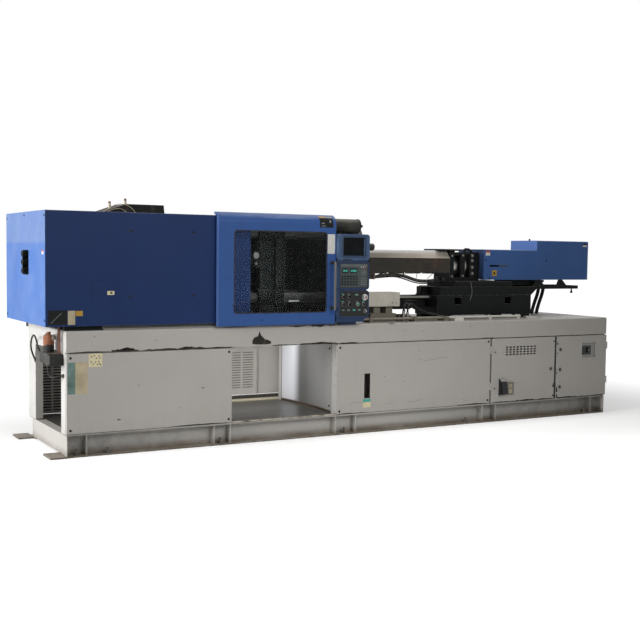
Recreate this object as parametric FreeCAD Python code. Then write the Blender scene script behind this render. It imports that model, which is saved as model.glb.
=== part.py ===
import FreeCAD, Part
import math
import os

# Horizontal injection moulding machine, in millimetres.
# Working axes: x from the base's left end (clamp side) towards the injection side,
# y from the front panels towards the back, z up from the floor.
# Everything is moved by (-X_MID, -Y_MID, 0) when it is written, so that the origin
# of the finished machine lies at the middle of its floor rectangle.

V = FreeCAD.Vector

# ---------------------------------------------------------------- driving dimensions
# Machine base
BASE_LENGTH = 5450.0
BASE_DEPTH = 1100.0
BASE_HEIGHT = 950.0
BAND_HEIGHT = 163.0          # height of the rim that runs round the top of the base
DECK_PLATE = 6.0
DECK_LIP = 100.0             # inward edge of the rim's underside
BEAM_FLANGE = 80.0
BEAM_WEB = 10.0
BEAM_OFFSET = 270.0          # beam centre lines from the machine's centre plane
RAIL_SIZE = 175.0            # rolled H section under the base
RAIL_FLANGE = 11.0
RAIL_WEB = 8.0
RAIL_INSET = 14.0            # rail's front edge behind the panels
RAIL_START = 8.0
RAIL_END_INSET = 26.0
LUG_REACH = 126.0            # floor lugs that stick out at the left end
LUG_WIDTH = 210.0
LUG_THICKNESS = 14.0
PANEL_SHEET = 2.0
PANEL_DEPTH = 26.0
PANEL_FRONT = 4.0            # front face of the panels behind the rim's face
PANEL_GAP = 8.0              # shadow gap under the rim
POST_SIZE = 60.0
POST_WALL = 4.0
END_POST_WIDTH = 107.0       # the folded posts at the open left end
REAR_POST_WIDTH = 223.0
BAY_LEFT = 1350.0            # open bay under the mould space
BAY_WIDTH = 971.0
CABINET_WIDTH = 1461.0       # from its left side to the base's right end
RIGHT_DOOR_WIDTH = 680.0     # from the gap between the cabinet doors to the base's right end
DOOR_GAP = 26.0
DROP_MARGIN_LEFT = 70.0      # deck opening for the moulded parts, inside the bay
DROP_MARGIN_RIGHT = 31.0
DROP_HALF_WIDTH = 210.0
STUD_RADIUS = 10.0
NUT_RADIUS = 17.0
ANCHOR_HOLE_RADIUS = 11.0
ANCHOR_LEFT = 298.0
ANCHOR_RIGHT_INSET = 103.0
ANCHOR_EDGE = 32.0

# Clamp unit
AXIS_ABOVE_BASE = 490.0      # height of the screw and of the mould centre above the base
AXIS_DEPTH = 560.0           # its distance behind the front panels
TIE_BAR_RADIUS = 40.0
TIE_BAR_NUT_RADIUS = 62.0
TIE_BAR_SPACING = 540.0
PLATEN_SIZE = 710.0
REAR_PLATEN_LEFT = 120.0
REAR_PLATEN_THICKNESS = 210.0
MOVING_PLATEN_LEFT = 1690.0
MOVING_PLATEN_THICKNESS = 228.0
MOULD_PLATE = 80.0
FIXED_PLATEN_LEFT = 2370.0
FIXED_PLATEN_THICKNESS = 270.0
CYLINDER_RADIUS = 190.0
CYLINDER_LEFT = -110.0
CYLINDER_RIGHT = 760.0
PORT_RADIUS = 27.0           # oil ports that stand out of the hood's left end
PORT_WALL = 9.0
PORT_REACH = 25.0
PORT_PITCH = 64.0
RAM_RADIUS = 130.0
RAM_LEFT = 300.0
LOCATING_RADIUS = 50.0
LOCATING_DEPTH = 30.0
SPRUE_RADIUS = 35.0
SPRUE_DEPTH = 70.0
NOZZLE_POCKET_RADIUS = 110.0
MOULD_HOLE_RADIUS = 7.0
MOULD_HOLE_SPACING = 350.0
MOULD_HOLE_DEPTH = 40.0
EJECTOR_ROD_RADIUS = 20.0
EJECTOR_DISC_RADIUS = 50.0
EJECTOR_CAVITY_RADIUS = 62.0
ACCUMULATOR_RADIUS = 58.0
ACCUMULATOR_GAP = 3.0        # between the accumulator and the platen's front face
ACCUMULATOR_LENGTH = 420.0
ACCUMULATOR_INSET = 40.0     # its right end, before the fixed platen's right face

# Covers
HOOD_LEFT = -154.0
HOOD_RIGHT = 1500.0
HOOD_DEPTH = 1190.0
HOOD_LIFT = 33.5             # hood's lower edge above the base
HOOD_HEADROOM = 42.0         # hood's top above the platens
COVER_SHEET = 3.0
SILL_FLANGE = 80.0
DOOR_LEFT = 1196.0
DOOR_WIDTH = 1064.0
DOOR_PROUD = 60.0            # the doors stand this far outside the hood's faces
DOOR_LIFT = 11.0             # doors' lower edge above the base
DOOR_OVERLAP = 29.0          # doors' top above the hood's
DOOR_BEND = 80.0             # radius of the rolled top edge
WINDOW_MARGINS = (138.0, 90.0, 105.0, 151.0)     # left, right, bottom and top edge of the door
WINDOW_CORNER = 20.0
WINDOW_SHEET = 5.0
WINDOW_LAP = 20.0
GRIP_RADIUS = 10.5
GRIP_REACH = 64.5
GRIP_INSET = 40.0            # from the door's right edge
GRIP_LIFT = 117.0            # from the door's lower edge
GRIP_LENGTH = 400.0
GRIP_STANDOFF_RADIUS = 9.0
POST_INSET = 30.0            # guard post's left face inside the doors' right edge
POST_WIDTH = 34.0
TRACK_HEIGHT = 10.0
TRACK_NEAR = 14.0
TRACK_WIDTH = 20.0
ROLLER_RADIUS = 10.0

# Control panel
CONTROL_WIDTH = 304.0
CONTROL_FRONT = -100.0
CONTROL_BACK = 40.0
CONTROL_LIFT = 24.0          # foot's underside above the base
CONTROL_FOOT_HEIGHT = 36.0
SWITCHES_HEIGHT = 236.0
KEYS_HEIGHT = 244.0
MONITOR_HEIGHT = 221.0
CONTROL_GROOVE = 7.0
CONTROL_CORNER = 26.0
PLATE_THICKNESS = 3.0
PLATE_RECESS = 6.0
SCREEN_MARGINS = (45.0, 50.0, 41.0, 30.0)        # left, right, bottom and top edge of its module
SCREEN_RECESS = 20.0
CONTROL_SHAFT_RADIUS = 5.0
BUTTON_TRAVEL = 5.0

# Injection unit
BED_LEFT = 3572.0
BED_LENGTH = 1128.0
BED_FRONT = 300.0
BED_PAD_HEIGHT = 35.0
BED_BELOW_AXIS = 270.0       # top of the bed under the screw's axis
BED_WALL = 40.0
BED_HOLE = (64.0, 20.0)      # square holes: height, and distance under the bed's top
CARRIAGE_HEIGHT = 80.0
CARRIAGE_OVERHANG = 66.0
EXTENSION_LENGTH = 34.0
CORNER_CUT = (116.0, 160.0)  # rear left corner cut off the bed and the carriage
SADDLE_LENGTH = 680.0
SADDLE_HEIGHT = 52.0
BARREL_LEFT = 2900.0
BARREL_RADIUS = 55.0
BAND_RADIUS = 72.0
SCREW_RADIUS = 22.45
NOZZLE_LENGTH = 190.0
GUARD_LEFT = 2905.0
GUARD_RIGHT = 3806.0
GUARD_HALF_WIDTH = 130.0
GUARD_TOP_HALF_WIDTH = 68.0
GUARD_LEVELS = (-60.0, 76.0, 147.0)              # lower edge, shoulder and top from the axis
GUARD_SHEET = 2.5
FEED_LENGTH = 347.0
FEED_BLOCK_LENGTH = 113.0
FEED_RISE = 136.0            # top of the feed housing above the axis
THROAT_OFFSET = 62.0         # feed throat from the housing's front flange
THROAT_RADIUS = 28.0
THROAT_MISMATCH = 2.0        # barrel's throat is this much larger in radius
HOPPER_PLATE_LAP = 121.0     # hopper plate in front of the housing's flange
HOPPER_PLATE_LENGTH = 267.0
HOPPER_PLATE_LIFT = 14.0
HOPPER_PLATE_THICKNESS = 14.0
HOPPER_BOLT_SPACING = 110.0
HOPPER_BOLT_RADIUS = 5.5
ROD_RADIUS = 22.0
ROD_OFFSET = 80.0
SHOT_CYLINDER_RADIUS = 46.0
DRIVE_GAP = 267.0            # drive plate behind the feed housing at rest
DRIVE_THICKNESS = 80.0
COVER_RIGHT = 5518.0
COVER_HALF_WIDTH = 200.0
COVER_LIFT = 58.0            # cover's lower edge above the arm
COVER_LOW_RISE = 30.0        # low part's top above the feed housing
COVER_TALL_LENGTH = 702.0
COVER_TALL_RISE = 96.0
COVER_CORNER = 40.0
COVER_LIP = 34.0             # inward edge at the bottom, which rests on the brackets
ARM_INSET = 128.0            # arm's end inside the cover's end
ARM_DROP = 28.0              # arm's underside below the carriage's top
ARM_HEIGHT = 34.0
HOSE_RADIUS = 18.0
CONDUIT_RADIUS = 15.0
CABLE_RADIUS = 7.0
CABLE_HOLE_RADIUS = 24.0

# Clearances
RUNNING_FIT = 0.05           # radial, shafts in bores
LOOSE_FIT = 0.3              # between parts that slide past each other

# ---------------------------------------------------------------- derived places
X_MID = (HOOD_LEFT - PORT_REACH + COVER_RIGHT) / 2
Y_MID = HOOD_DEPTH / 2
RAIL_END = BASE_LENGTH - RAIL_END_INSET
BAND_BOTTOM = BASE_HEIGHT - BAND_HEIGHT
PANEL_TOP = BAND_BOTTOM - PANEL_GAP
PANEL_BOTTOM = RAIL_SIZE + 5.0
PANEL_BACK = PANEL_FRONT + PANEL_DEPTH
BAY_RIGHT = BAY_LEFT + BAY_WIDTH
CABINET_LEFT = BASE_LENGTH - CABINET_WIDTH
DOOR_SPLIT = BASE_LENGTH - RIGHT_DOOR_WIDTH
DROP_LEFT = BAY_LEFT + DROP_MARGIN_LEFT
DROP_RIGHT = BAY_RIGHT - DROP_MARGIN_RIGHT
ANCHOR_RIGHT = BASE_LENGTH - ANCHOR_RIGHT_INSET
CABINET_POST = CABINET_LEFT - 4 - POST_SIZE
END_RIGHT = BASE_LENGTH - 20 - POST_SIZE
REAR_RAIL_FRONT = BASE_DEPTH - RAIL_INSET - RAIL_SIZE

AXIS_HEIGHT = BASE_HEIGHT + AXIS_ABOVE_BASE
HALF_PLATEN = PLATEN_SIZE / 2
PLATEN_FRONT = AXIS_DEPTH - HALF_PLATEN
PLATEN_TOP = AXIS_HEIGHT + HALF_PLATEN
MOVING_PLATEN_RIGHT = MOVING_PLATEN_LEFT + MOVING_PLATEN_THICKNESS
FIXED_PLATEN_RIGHT = FIXED_PLATEN_LEFT + FIXED_PLATEN_THICKNESS
TIE_OFFSETS = [(side * TIE_BAR_SPACING / 2, level * TIE_BAR_SPACING / 2)
               for side in (-1, 1) for level in (-1, 1)]

HOOD_BOTTOM = BASE_HEIGHT + HOOD_LIFT
HOOD_TOP = PLATEN_TOP + HOOD_HEADROOM
DOOR_RIGHT = DOOR_LEFT + DOOR_WIDTH
DOOR_FACE = -DOOR_PROUD
DOOR_BOTTOM = BASE_HEIGHT + DOOR_LIFT
DOOR_TOP = HOOD_TOP + DOOR_OVERLAP
WINDOW_LEFT = DOOR_LEFT + WINDOW_MARGINS[0]
WINDOW_RIGHT = DOOR_RIGHT - WINDOW_MARGINS[1]
WINDOW_BOTTOM = DOOR_BOTTOM + WINDOW_MARGINS[2]
WINDOW_TOP = DOOR_TOP - WINDOW_MARGINS[3]
GRIP_X = DOOR_RIGHT - GRIP_INSET
GRIP_BOTTOM = DOOR_BOTTOM + GRIP_LIFT
GRIP_TOP = GRIP_BOTTOM + GRIP_LENGTH
POST_LEFT = DOOR_RIGHT - POST_INSET
POST_RIGHT = POST_LEFT + POST_WIDTH

CONTROL_LEFT = POST_RIGHT
CONTROL_RIGHT = CONTROL_LEFT + CONTROL_WIDTH
CONTROL_FOOT = BASE_HEIGHT + CONTROL_LIFT
CONTROL_SWITCHES = CONTROL_FOOT + CONTROL_FOOT_HEIGHT
CONTROL_KEYS = CONTROL_SWITCHES + SWITCHES_HEIGHT
CONTROL_MONITOR = CONTROL_KEYS + KEYS_HEIGHT
CONTROL_TOP = CONTROL_MONITOR + MONITOR_HEIGHT
SCREEN_LEFT = CONTROL_LEFT + SCREEN_MARGINS[0]
SCREEN_RIGHT = CONTROL_RIGHT - SCREEN_MARGINS[1]
SCREEN_BOTTOM = CONTROL_MONITOR + SCREEN_MARGINS[2]
SCREEN_TOP = CONTROL_TOP - SCREEN_MARGINS[3]
PLATE_FRONT = CONTROL_FRONT + PLATE_RECESS - PLATE_THICKNESS
SPOT_OFFSETS = {             # from the switch module's lower left corner
    "selector_top_left": (57.0, 177.0),
    "selector_top_right": (115.0, 177.0),
    "selector_low_left": (57.0, 113.0),
    "selector_low_right": (117.0, 113.0),
    "start_button": (195.0, 113.0),
    "pressure_knob": (254.0, 113.0),
    "stop_button": (263.0, 172.0),
    "key_switch": (272.0, 54.0),
}
CONTROL_SPOTS = {name: (CONTROL_LEFT + dx, CONTROL_SWITCHES + dz)
                 for name, (dx, dz) in SPOT_OFFSETS.items()}

BED_RIGHT = BED_LEFT + BED_LENGTH
BED_HALF_WIDTH = AXIS_DEPTH - BED_FRONT
BED_BOTTOM = BASE_HEIGHT + BED_PAD_HEIGHT
BED_TOP = AXIS_HEIGHT - BED_BELOW_AXIS
CARRIAGE_TOP = BED_TOP + CARRIAGE_HEIGHT
CARRIAGE_RIGHT = BED_RIGHT + CARRIAGE_OVERHANG
EXTENSION_LEFT = BED_LEFT - EXTENSION_LENGTH
SADDLE_LEFT = GUARD_RIGHT - 6.0
SADDLE_RIGHT = SADDLE_LEFT + SADDLE_LENGTH
SADDLE_TOP = CARRIAGE_TOP + SADDLE_HEIGHT
NOZZLE_TIP = BARREL_LEFT - NOZZLE_LENGTH
GUARD_BOTTOM = AXIS_HEIGHT + GUARD_LEVELS[0]
GUARD_SHOULDER = AXIS_HEIGHT + GUARD_LEVELS[1]
GUARD_TOP = AXIS_HEIGHT + GUARD_LEVELS[2]
FEED_RIGHT = GUARD_RIGHT + FEED_LENGTH
FEED_TOP = AXIS_HEIGHT + FEED_RISE
BARREL_RIGHT = FEED_RIGHT - FEED_BLOCK_LENGTH
THROAT_CENTRE = GUARD_RIGHT + THROAT_OFFSET
HOPPER_PLATE_LEFT = GUARD_RIGHT - HOPPER_PLATE_LAP
HOPPER_PLATE_RIGHT = HOPPER_PLATE_LEFT + HOPPER_PLATE_LENGTH
HOPPER_PLATE_BOTTOM = FEED_TOP + HOPPER_PLATE_LIFT
HOPPER_PLATE_TOP = HOPPER_PLATE_BOTTOM + HOPPER_PLATE_THICKNESS
DRIVE_LEFT = FEED_RIGHT + DRIVE_GAP
ARM_RIGHT = COVER_RIGHT - ARM_INSET
ARM_BOTTOM = CARRIAGE_TOP - ARM_DROP
ARM_TOP = ARM_BOTTOM + ARM_HEIGHT
COVER_LEFT = FEED_RIGHT
COVER_BOTTOM = ARM_TOP + COVER_LIFT
COVER_STEP = COVER_RIGHT - COVER_TALL_LENGTH
COVER_LOW_TOP = FEED_TOP + COVER_LOW_RISE
COVER_TOP = COVER_LOW_TOP + COVER_TALL_RISE

os.makedirs("parts", exist_ok=True)


# ---------------------------------------------------------------- helpers
def box(x0, x1, y0, y1, z0, z1):
    return Part.makeBox(x1 - x0, y1 - y0, z1 - z0, V(x0, y0, z0))


def rod_x(x0, x1, y, z, radius):
    return Part.makeCylinder(radius, x1 - x0, V(x0, y, z), V(1, 0, 0))


def rod_y(y0, y1, x, z, radius):
    return Part.makeCylinder(radius, y1 - y0, V(x, y0, z), V(0, 1, 0))


def rod_z(z0, z1, x, y, radius):
    return Part.makeCylinder(radius, z1 - z0, V(x, y, z0), V(0, 0, 1))


def face_of(points):
    return Part.Face(Part.makePolygon([V(*p) for p in points + points[:1]]))


def prism_x(profile, x0, x1):
    """Extrude a (y, z) outline along x."""
    return face_of([(x0, y, z) for y, z in profile]).extrude(V(x1 - x0, 0, 0))


def prism_y(profile, y0, y1):
    """Extrude an (x, z) outline along y."""
    return face_of([(x, y0, z) for x, z in profile]).extrude(V(0, y1 - y0, 0))


def prism_z(profile, z0, z1):
    """Extrude an (x, y) outline along z."""
    return face_of([(x, y, z0) for x, y in profile]).extrude(V(0, 0, z1 - z0))


def join(*shapes):
    return shapes[0].multiFuse(list(shapes[1:])).removeSplitter()


def rounded(shape, radius, wanted):
    """Fillet the edges for which wanted(edge) is true."""
    return shape.makeFillet(radius, [edge for edge in shape.Edges if wanted(edge)])


def runs_along(edge, axis):
    """True for a straight edge parallel to the axis named x, y or z."""
    box_of = edge.BoundBox
    spans = {"x": box_of.XLength, "y": box_of.YLength, "z": box_of.ZLength}
    return all((spans[name] > 0.01) == (name == axis) for name in spans)


def rounded_box_y(x0, x1, y0, y1, z0, z1, radius):
    """A box whose four corners seen from the front are rounded."""
    return rounded(box(x0, x1, y0, y1, z0, z1), radius, lambda e: runs_along(e, "y"))


def mirrored(shape):
    """The same shape on the other side of the hood's middle plane."""
    return shape.mirror(V(0, Y_MID, 0), V(0, 1, 0))


def save(name, *solids):
    shape = Part.makeCompound(list(solids)) if len(solids) > 1 else solids[0]
    shape = shape.copy()
    shape.translate(V(-X_MID, -Y_MID, 0))
    shape.exportStep("parts/" + name + ".step")


# ---------------------------------------------------------------- base: rails and beams
STIFFENERS = (RAIL_START + 151, BAY_LEFT - 150, BAY_LEFT - 8, BAY_RIGHT + 4, BAY_RIGHT + 204,
              CABINET_LEFT - 86, CABINET_LEFT + 71, BASE_LENGTH - 192)
LEVELLING = (RAIL_START + 78, BAY_LEFT - 89, BAY_RIGHT + 105, CABINET_LEFT - 257, BASE_LENGTH - 257)
CROSS_BEAMS = (RAIL_START, BAY_LEFT - POST_SIZE, BAY_RIGHT + 29, CABINET_POST, BASE_LENGTH - 110)
BEAM_WIDTH = 75.0
STUD_HEIGHT = 58.0
NUT_HEIGHT = 16.0


def rail(front):
    """One H section with its stiffeners, floor lug and bolt holes, open towards the outside."""
    outer = box(RAIL_START, RAIL_END, front, front + RAIL_SIZE, 0, RAIL_SIZE)
    middle = front + RAIL_SIZE / 2
    for y0, y1 in ((front, middle - RAIL_WEB / 2), (middle + RAIL_WEB / 2, front + RAIL_SIZE)):
        outer = outer.cut(box(RAIL_START, RAIL_END, y0, y1, RAIL_FLANGE, RAIL_SIZE - RAIL_FLANGE))
    near_front = front < AXIS_DEPTH
    outside = (front + 3, middle) if near_front else (middle, front + RAIL_SIZE - 3)
    plates = [box(x - 4, x + 4, outside[0], outside[1], RAIL_FLANGE, RAIL_SIZE - RAIL_FLANGE)
              for x in STIFFENERS]
    lug_front = 0.0 if near_front else BASE_DEPTH - LUG_WIDTH + 65.0
    lug = box(RAIL_START - LUG_REACH, RAIL_START, lug_front, lug_front + LUG_WIDTH, 0, LUG_THICKNESS)
    body = join(outer, lug, *plates)
    hole_y = front + ANCHOR_EDGE if near_front else front + RAIL_SIZE - ANCHOR_EDGE
    for x in LEVELLING + (ANCHOR_LEFT, ANCHOR_RIGHT):
        body = body.cut(rod_z(-1, RAIL_FLANGE + 1, x, hole_y, ANCHOR_HOLE_RADIUS))
    return body


def levelling_bolt(x, y):
    stud = rod_z(0, STUD_HEIGHT, x, y, STUD_RADIUS)
    turns = [math.radians(60 * i) for i in range(6)]
    points = [(x + NUT_RADIUS * math.cos(turn), y + NUT_RADIUS * math.sin(turn)) for turn in turns]
    return join(stud, prism_z(points, RAIL_FLANGE, RAIL_FLANGE + NUT_HEIGHT))


def cross_beam(x):
    """A channel between the two rails, web towards the left."""
    low, high = RAIL_FLANGE, RAIL_SIZE - RAIL_FLANGE
    front = RAIL_INSET + RAIL_SIZE / 2 + RAIL_WEB / 2
    back = REAR_RAIL_FRONT + RAIL_SIZE / 2 - RAIL_WEB / 2
    solid = box(x, x + BEAM_WIDTH, front, back, low, high)
    wall = RAIL_WEB
    return solid.cut(box(x + wall, x + BEAM_WIDTH, front, back, low + wall, high - wall))


save("front_rail", rail(RAIL_INSET))
save("rear_rail", rail(REAR_RAIL_FRONT))
stud_lines = (RAIL_INSET + ANCHOR_EDGE, REAR_RAIL_FRONT + RAIL_SIZE - ANCHOR_EDGE)
save("levelling_bolts", *[levelling_bolt(x, y) for x in LEVELLING for y in stud_lines])
save("cross_beams", *[cross_beam(x) for x in CROSS_BEAMS])


# ---------------------------------------------------------------- base: posts
def tube_post(x, y):
    outer = box(x, x + POST_SIZE, y, y + POST_SIZE, RAIL_SIZE, BAND_BOTTOM)
    wall = POST_WALL
    return outer.cut(box(x + wall, x + POST_SIZE - wall, y + wall, y + POST_SIZE - wall,
                         RAIL_SIZE, BAND_BOTTOM))


def end_post(y0, y1):
    """Wide folded post at the open left end, its web facing left."""
    outer = box(0, POST_SIZE, y0, y1, RAIL_SIZE, BAND_BOTTOM)
    return outer.cut(box(POST_WALL, POST_SIZE, y0 + POST_WALL, y1 - POST_WALL,
                         RAIL_SIZE, BAND_BOTTOM))


HINGE_RADIUS = 6.0
HINGE_PIN_RADIUS = 3.0
HINGE_Y = 6.0
LEFT_HINGE_X = CABINET_LEFT - 9.0
RIGHT_HINGE_X = BASE_LENGTH - 8.0
HINGE_LEVELS = (300.0, PANEL_TOP - 139.0)
KNUCKLE = 34.0


def fixed_hinges(x, foot_left, foot_right, foot_front, foot_back):
    """The fixed knuckles with their pins, each on a leaf that ends in a foot on the post."""
    pieces = []
    for z in HINGE_LEVELS:
        pieces.append(box(foot_left, foot_right, foot_front, foot_back, z, z + KNUCKLE))
        pieces.append(box(x - 4, x + 4, HINGE_Y + 4, foot_back, z, z + KNUCKLE))
        pieces.append(rod_z(z, z + KNUCKLE, x, HINGE_Y, HINGE_RADIUS))
        pieces.append(rod_z(z, z + 2 * KNUCKLE, x, HINGE_Y, HINGE_PIN_RADIUS))
        pieces.append(box(x - 4, x + 4, HINGE_Y, HINGE_Y + 5, z, z + KNUCKLE))
    return pieces


posts = []
for left in (BAY_LEFT - POST_SIZE, BAY_RIGHT):
    posts.append(tube_post(left, PANEL_BACK))
    posts.append(tube_post(left, BASE_DEPTH - PANEL_BACK - POST_SIZE))
posts.append(join(tube_post(CABINET_POST, PANEL_BACK),
                  *fixed_hinges(LEFT_HINGE_X, LEFT_HINGE_X - 4, LEFT_HINGE_X + 4,
                                PANEL_BACK - 4, PANEL_BACK)))
posts.append(join(tube_post(END_RIGHT, PANEL_BACK),
                  *fixed_hinges(RIGHT_HINGE_X, END_RIGHT + POST_SIZE, RIGHT_HINGE_X + 4,
                                PANEL_BACK + 3, PANEL_BACK + 13)))
posts.append(tube_post(CABINET_POST, BASE_DEPTH - PANEL_BACK - POST_SIZE))
posts.append(tube_post(END_RIGHT, BASE_DEPTH - PANEL_BACK - POST_SIZE))
posts.append(end_post(PANEL_BACK, PANEL_BACK + END_POST_WIDTH))
CABLE_ENTRY = (BASE_DEPTH - 208.0, BASE_HEIGHT - 294.0)
rear_end_post = end_post(BASE_DEPTH - PANEL_FRONT - REAR_POST_WIDTH, BASE_DEPTH - PANEL_FRONT)
posts.append(rear_end_post.cut(rod_x(-1, POST_WALL + 1, CABLE_ENTRY[0], CABLE_ENTRY[1], CABLE_HOLE_RADIUS)))
save("base_posts", *posts)


# ---------------------------------------------------------------- base: deck
END_CORNER = 45.0             # upright corners of the rim at the right end
RIM_EDGE = 14.0


def bed_deck():
    """The deck plate with its rounded rim and the opening for the moulded parts."""
    outer = box(0, BASE_LENGTH, 0, BASE_DEPTH, BAND_BOTTOM, BASE_HEIGHT)
    outer = rounded(outer, END_CORNER, lambda e: runs_along(e, "z") and e.BoundBox.XMin > BASE_LENGTH - 1)
    outer = rounded(outer, RIM_EDGE, lambda e: e.BoundBox.ZMin > BASE_HEIGHT - 0.01)
    wall, lip = DECK_PLATE, DECK_LIP
    inner = box(wall, BASE_LENGTH - wall, wall, BASE_DEPTH - wall,
                BAND_BOTTOM + wall, BASE_HEIGHT - wall)
    inner = rounded(inner, END_CORNER - wall,
                    lambda e: runs_along(e, "z") and e.BoundBox.XMin > BASE_LENGTH - 2 * wall)
    hollow = inner.fuse(box(lip, BASE_LENGTH - lip, lip, BASE_DEPTH - lip,
                            BAND_BOTTOM, BASE_HEIGHT - 2 * wall))
    drop = box(DROP_LEFT, DROP_RIGHT, AXIS_DEPTH - DROP_HALF_WIDTH, AXIS_DEPTH + DROP_HALF_WIDTH,
               BASE_HEIGHT - 2 * wall, BASE_HEIGHT + 1)
    return outer.cut(hollow).cut(drop)


def main_beam(side):
    """One of the two long T beams under the deck, flange down."""
    low, high = BAND_BOTTOM + DECK_PLATE, BASE_HEIGHT - DECK_PLATE
    y = AXIS_DEPTH - 10 + side * BEAM_OFFSET
    x0, x1 = DECK_PLATE, BASE_LENGTH - DECK_PLATE
    web = box(x0, x1, y - BEAM_WEB / 2, y + BEAM_WEB / 2, low, high)
    return join(web, box(x0, x1, y - BEAM_FLANGE / 2, y + BEAM_FLANGE / 2, low, low + BEAM_WEB))


def cross_webs(x, beams):
    """Upright plates between rim and beams, in line with a pair of posts."""
    low, high = BAND_BOTTOM + DECK_PLATE, BASE_HEIGHT - DECK_PLATE
    plate = box(x - BEAM_WEB / 2, x + BEAM_WEB / 2, DECK_PLATE, BASE_DEPTH - DECK_PLATE, low, high)
    return plate.cut(Part.makeCompound(beams)).Solids


main_beams = [main_beam(side) for side in (-1, 1)]
webs = [web for x in (BAY_LEFT - POST_SIZE / 2, BAY_RIGHT + POST_SIZE / 2, CABINET_POST + POST_SIZE / 2)
        for web in cross_webs(x, main_beams)]
save("bed_deck", bed_deck(), *(main_beams + webs))


# ---------------------------------------------------------------- base: panels
def pan(x0, x1, z0, z1, rear=False):
    """A sheet panel with folded edges, open towards the inside of the base."""
    outer = box(x0, x1, PANEL_FRONT, PANEL_BACK, z0, z1)
    sheet = PANEL_SHEET
    inner = box(x0 + sheet, x1 - sheet, PANEL_FRONT + sheet, PANEL_BACK + 1, z0 + sheet, z1 - sheet)
    panel = outer.cut(inner)
    if rear:
        panel = panel.mirror(V(0, BASE_DEPTH / 2, 0), V(0, 1, 0))
    return panel


def slots(columns, first, pitch, count, height, y0, y1):
    """Rows of level slots: one tool for all the columns."""
    return Part.makeCompound([box(x0, x1, y0, y1, first + row * pitch, first + row * pitch + height)
                              for x0, x1 in columns for row in range(count)])


save("front_panel_left", pan(2, BAY_LEFT - 4, PANEL_BOTTOM, PANEL_TOP))
middle_panel = pan(BAY_RIGHT + 2, CABINET_LEFT - 18, PANEL_BOTTOM, PANEL_TOP)
GAUGE_LEFT = BAY_RIGHT + 279.0
GAUGE_WIDTH = 59.0
GAUGE_BOTTOM, GAUGE_TOP = 303.0, 518.0
save("front_panel_middle", middle_panel.cut(box(GAUGE_LEFT, GAUGE_LEFT + GAUGE_WIDTH, 0, PANEL_BACK,
                                                GAUGE_BOTTOM, GAUGE_TOP)))

REAR_FACE = (BASE_DEPTH - 8, BASE_DEPTH)
REAR_SPLIT = BAY_RIGHT - 219.0
BAY_REAR_BOTTOM = 240.0
left_rear = pan(POST_SIZE, BAY_LEFT - 32, PANEL_BOTTOM, PANEL_TOP, rear=True)
left_rear = left_rear.cut(slots(((110, 188), (204, 282)), 200, 24, 16, 11, *REAR_FACE))
bay_rear = pan(BAY_LEFT - 28, REAR_SPLIT - 2, BAY_REAR_BOTTOM, PANEL_TOP, rear=True)
louvres = ((BAY_LEFT + 502, BAY_LEFT + 588), (BAY_LEFT + 610, BAY_LEFT + 716))
bay_rear = bay_rear.cut(slots(louvres, 300, 23, 15, 9, *REAR_FACE))
save("rear_panels", left_rear, bay_rear,
     pan(REAR_SPLIT + 2, BAY_RIGHT + 28, BAY_REAR_BOTTOM, PANEL_TOP, rear=True),
     pan(BAY_RIGHT + 32, CABINET_LEFT - 34, PANEL_BOTTOM, PANEL_TOP, rear=True),
     pan(CABINET_LEFT - 30, DOOR_SPLIT - 4, PANEL_BOTTOM, PANEL_TOP, rear=True),
     pan(DOOR_SPLIT + 4, BASE_LENGTH - 18, PANEL_BOTTOM, PANEL_TOP, rear=True))


# ---------------------------------------------------------------- base: lining of the open bay
def curved_wall():
    """The chute's side wall, bent about an upright axis."""
    near = (BAY_RIGHT - 2, PANEL_BACK + POST_SIZE + 2)
    middle = (BAY_RIGHT + 31, BASE_DEPTH / 2)
    far = (BAY_RIGHT - 5, BASE_DEPTH - 95)
    sheet = 3.0
    inner = Part.Arc(V(near[0], near[1], 0), V(middle[0], middle[1], 0), V(far[0], far[1], 0)).toShape()
    outer = Part.Arc(V(near[0] + sheet, near[1], 0), V(middle[0] + sheet, middle[1], 0),
                     V(far[0] + sheet, far[1], 0)).toShape()
    ends = [Part.makeLine(V(p[0], p[1], 0), V(p[0] + sheet, p[1], 0)) for p in (near, far)]
    outline = Part.Face(Part.Wire(Part.__sortEdges__([inner, outer] + ends)))
    wall = outline.extrude(V(0, 0, BAND_BOTTOM - RAIL_SIZE - 4))
    wall.translate(V(0, 0, RAIL_SIZE + 4))
    return wall


end_floor = box(POST_SIZE + 4, BAY_LEFT - POST_SIZE - 4, PANEL_BACK + 2, BASE_DEPTH - PANEL_BACK - 2,
                RAIL_SIZE, RAIL_SIZE + 3)
bay_floor = box(BAY_LEFT, BAY_RIGHT + 40, PANEL_FRONT, BASE_DEPTH - PANEL_BACK, RAIL_SIZE, RAIL_SIZE + 4)
floor_lip = box(BAY_LEFT, BAY_RIGHT, PANEL_FRONT, PANEL_FRONT + 3, RAIL_SIZE + 4, RAIL_SIZE + 14)
rear_lip = box(BAY_LEFT + 3, BAY_RIGHT + 28, BASE_DEPTH - PANEL_BACK, BASE_DEPTH - PANEL_BACK + 3,
               RAIL_SIZE, BAY_REAR_BOTTOM - 4)
for corner_y in (PANEL_BACK, BASE_DEPTH - PANEL_BACK - POST_SIZE):
    bay_floor = bay_floor.cut(box(BAY_RIGHT, BAY_RIGHT + POST_SIZE, corner_y, corner_y + POST_SIZE,
                                  0, BASE_HEIGHT))
left_wall = box(BAY_LEFT, BAY_LEFT + 3, PANEL_BACK, BASE_DEPTH - PANEL_BACK, RAIL_SIZE + 4, BAND_BOTTOM)
save("bay_lining", join(bay_floor, floor_lip, rear_lip), curved_wall(), left_wall, end_floor)


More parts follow.
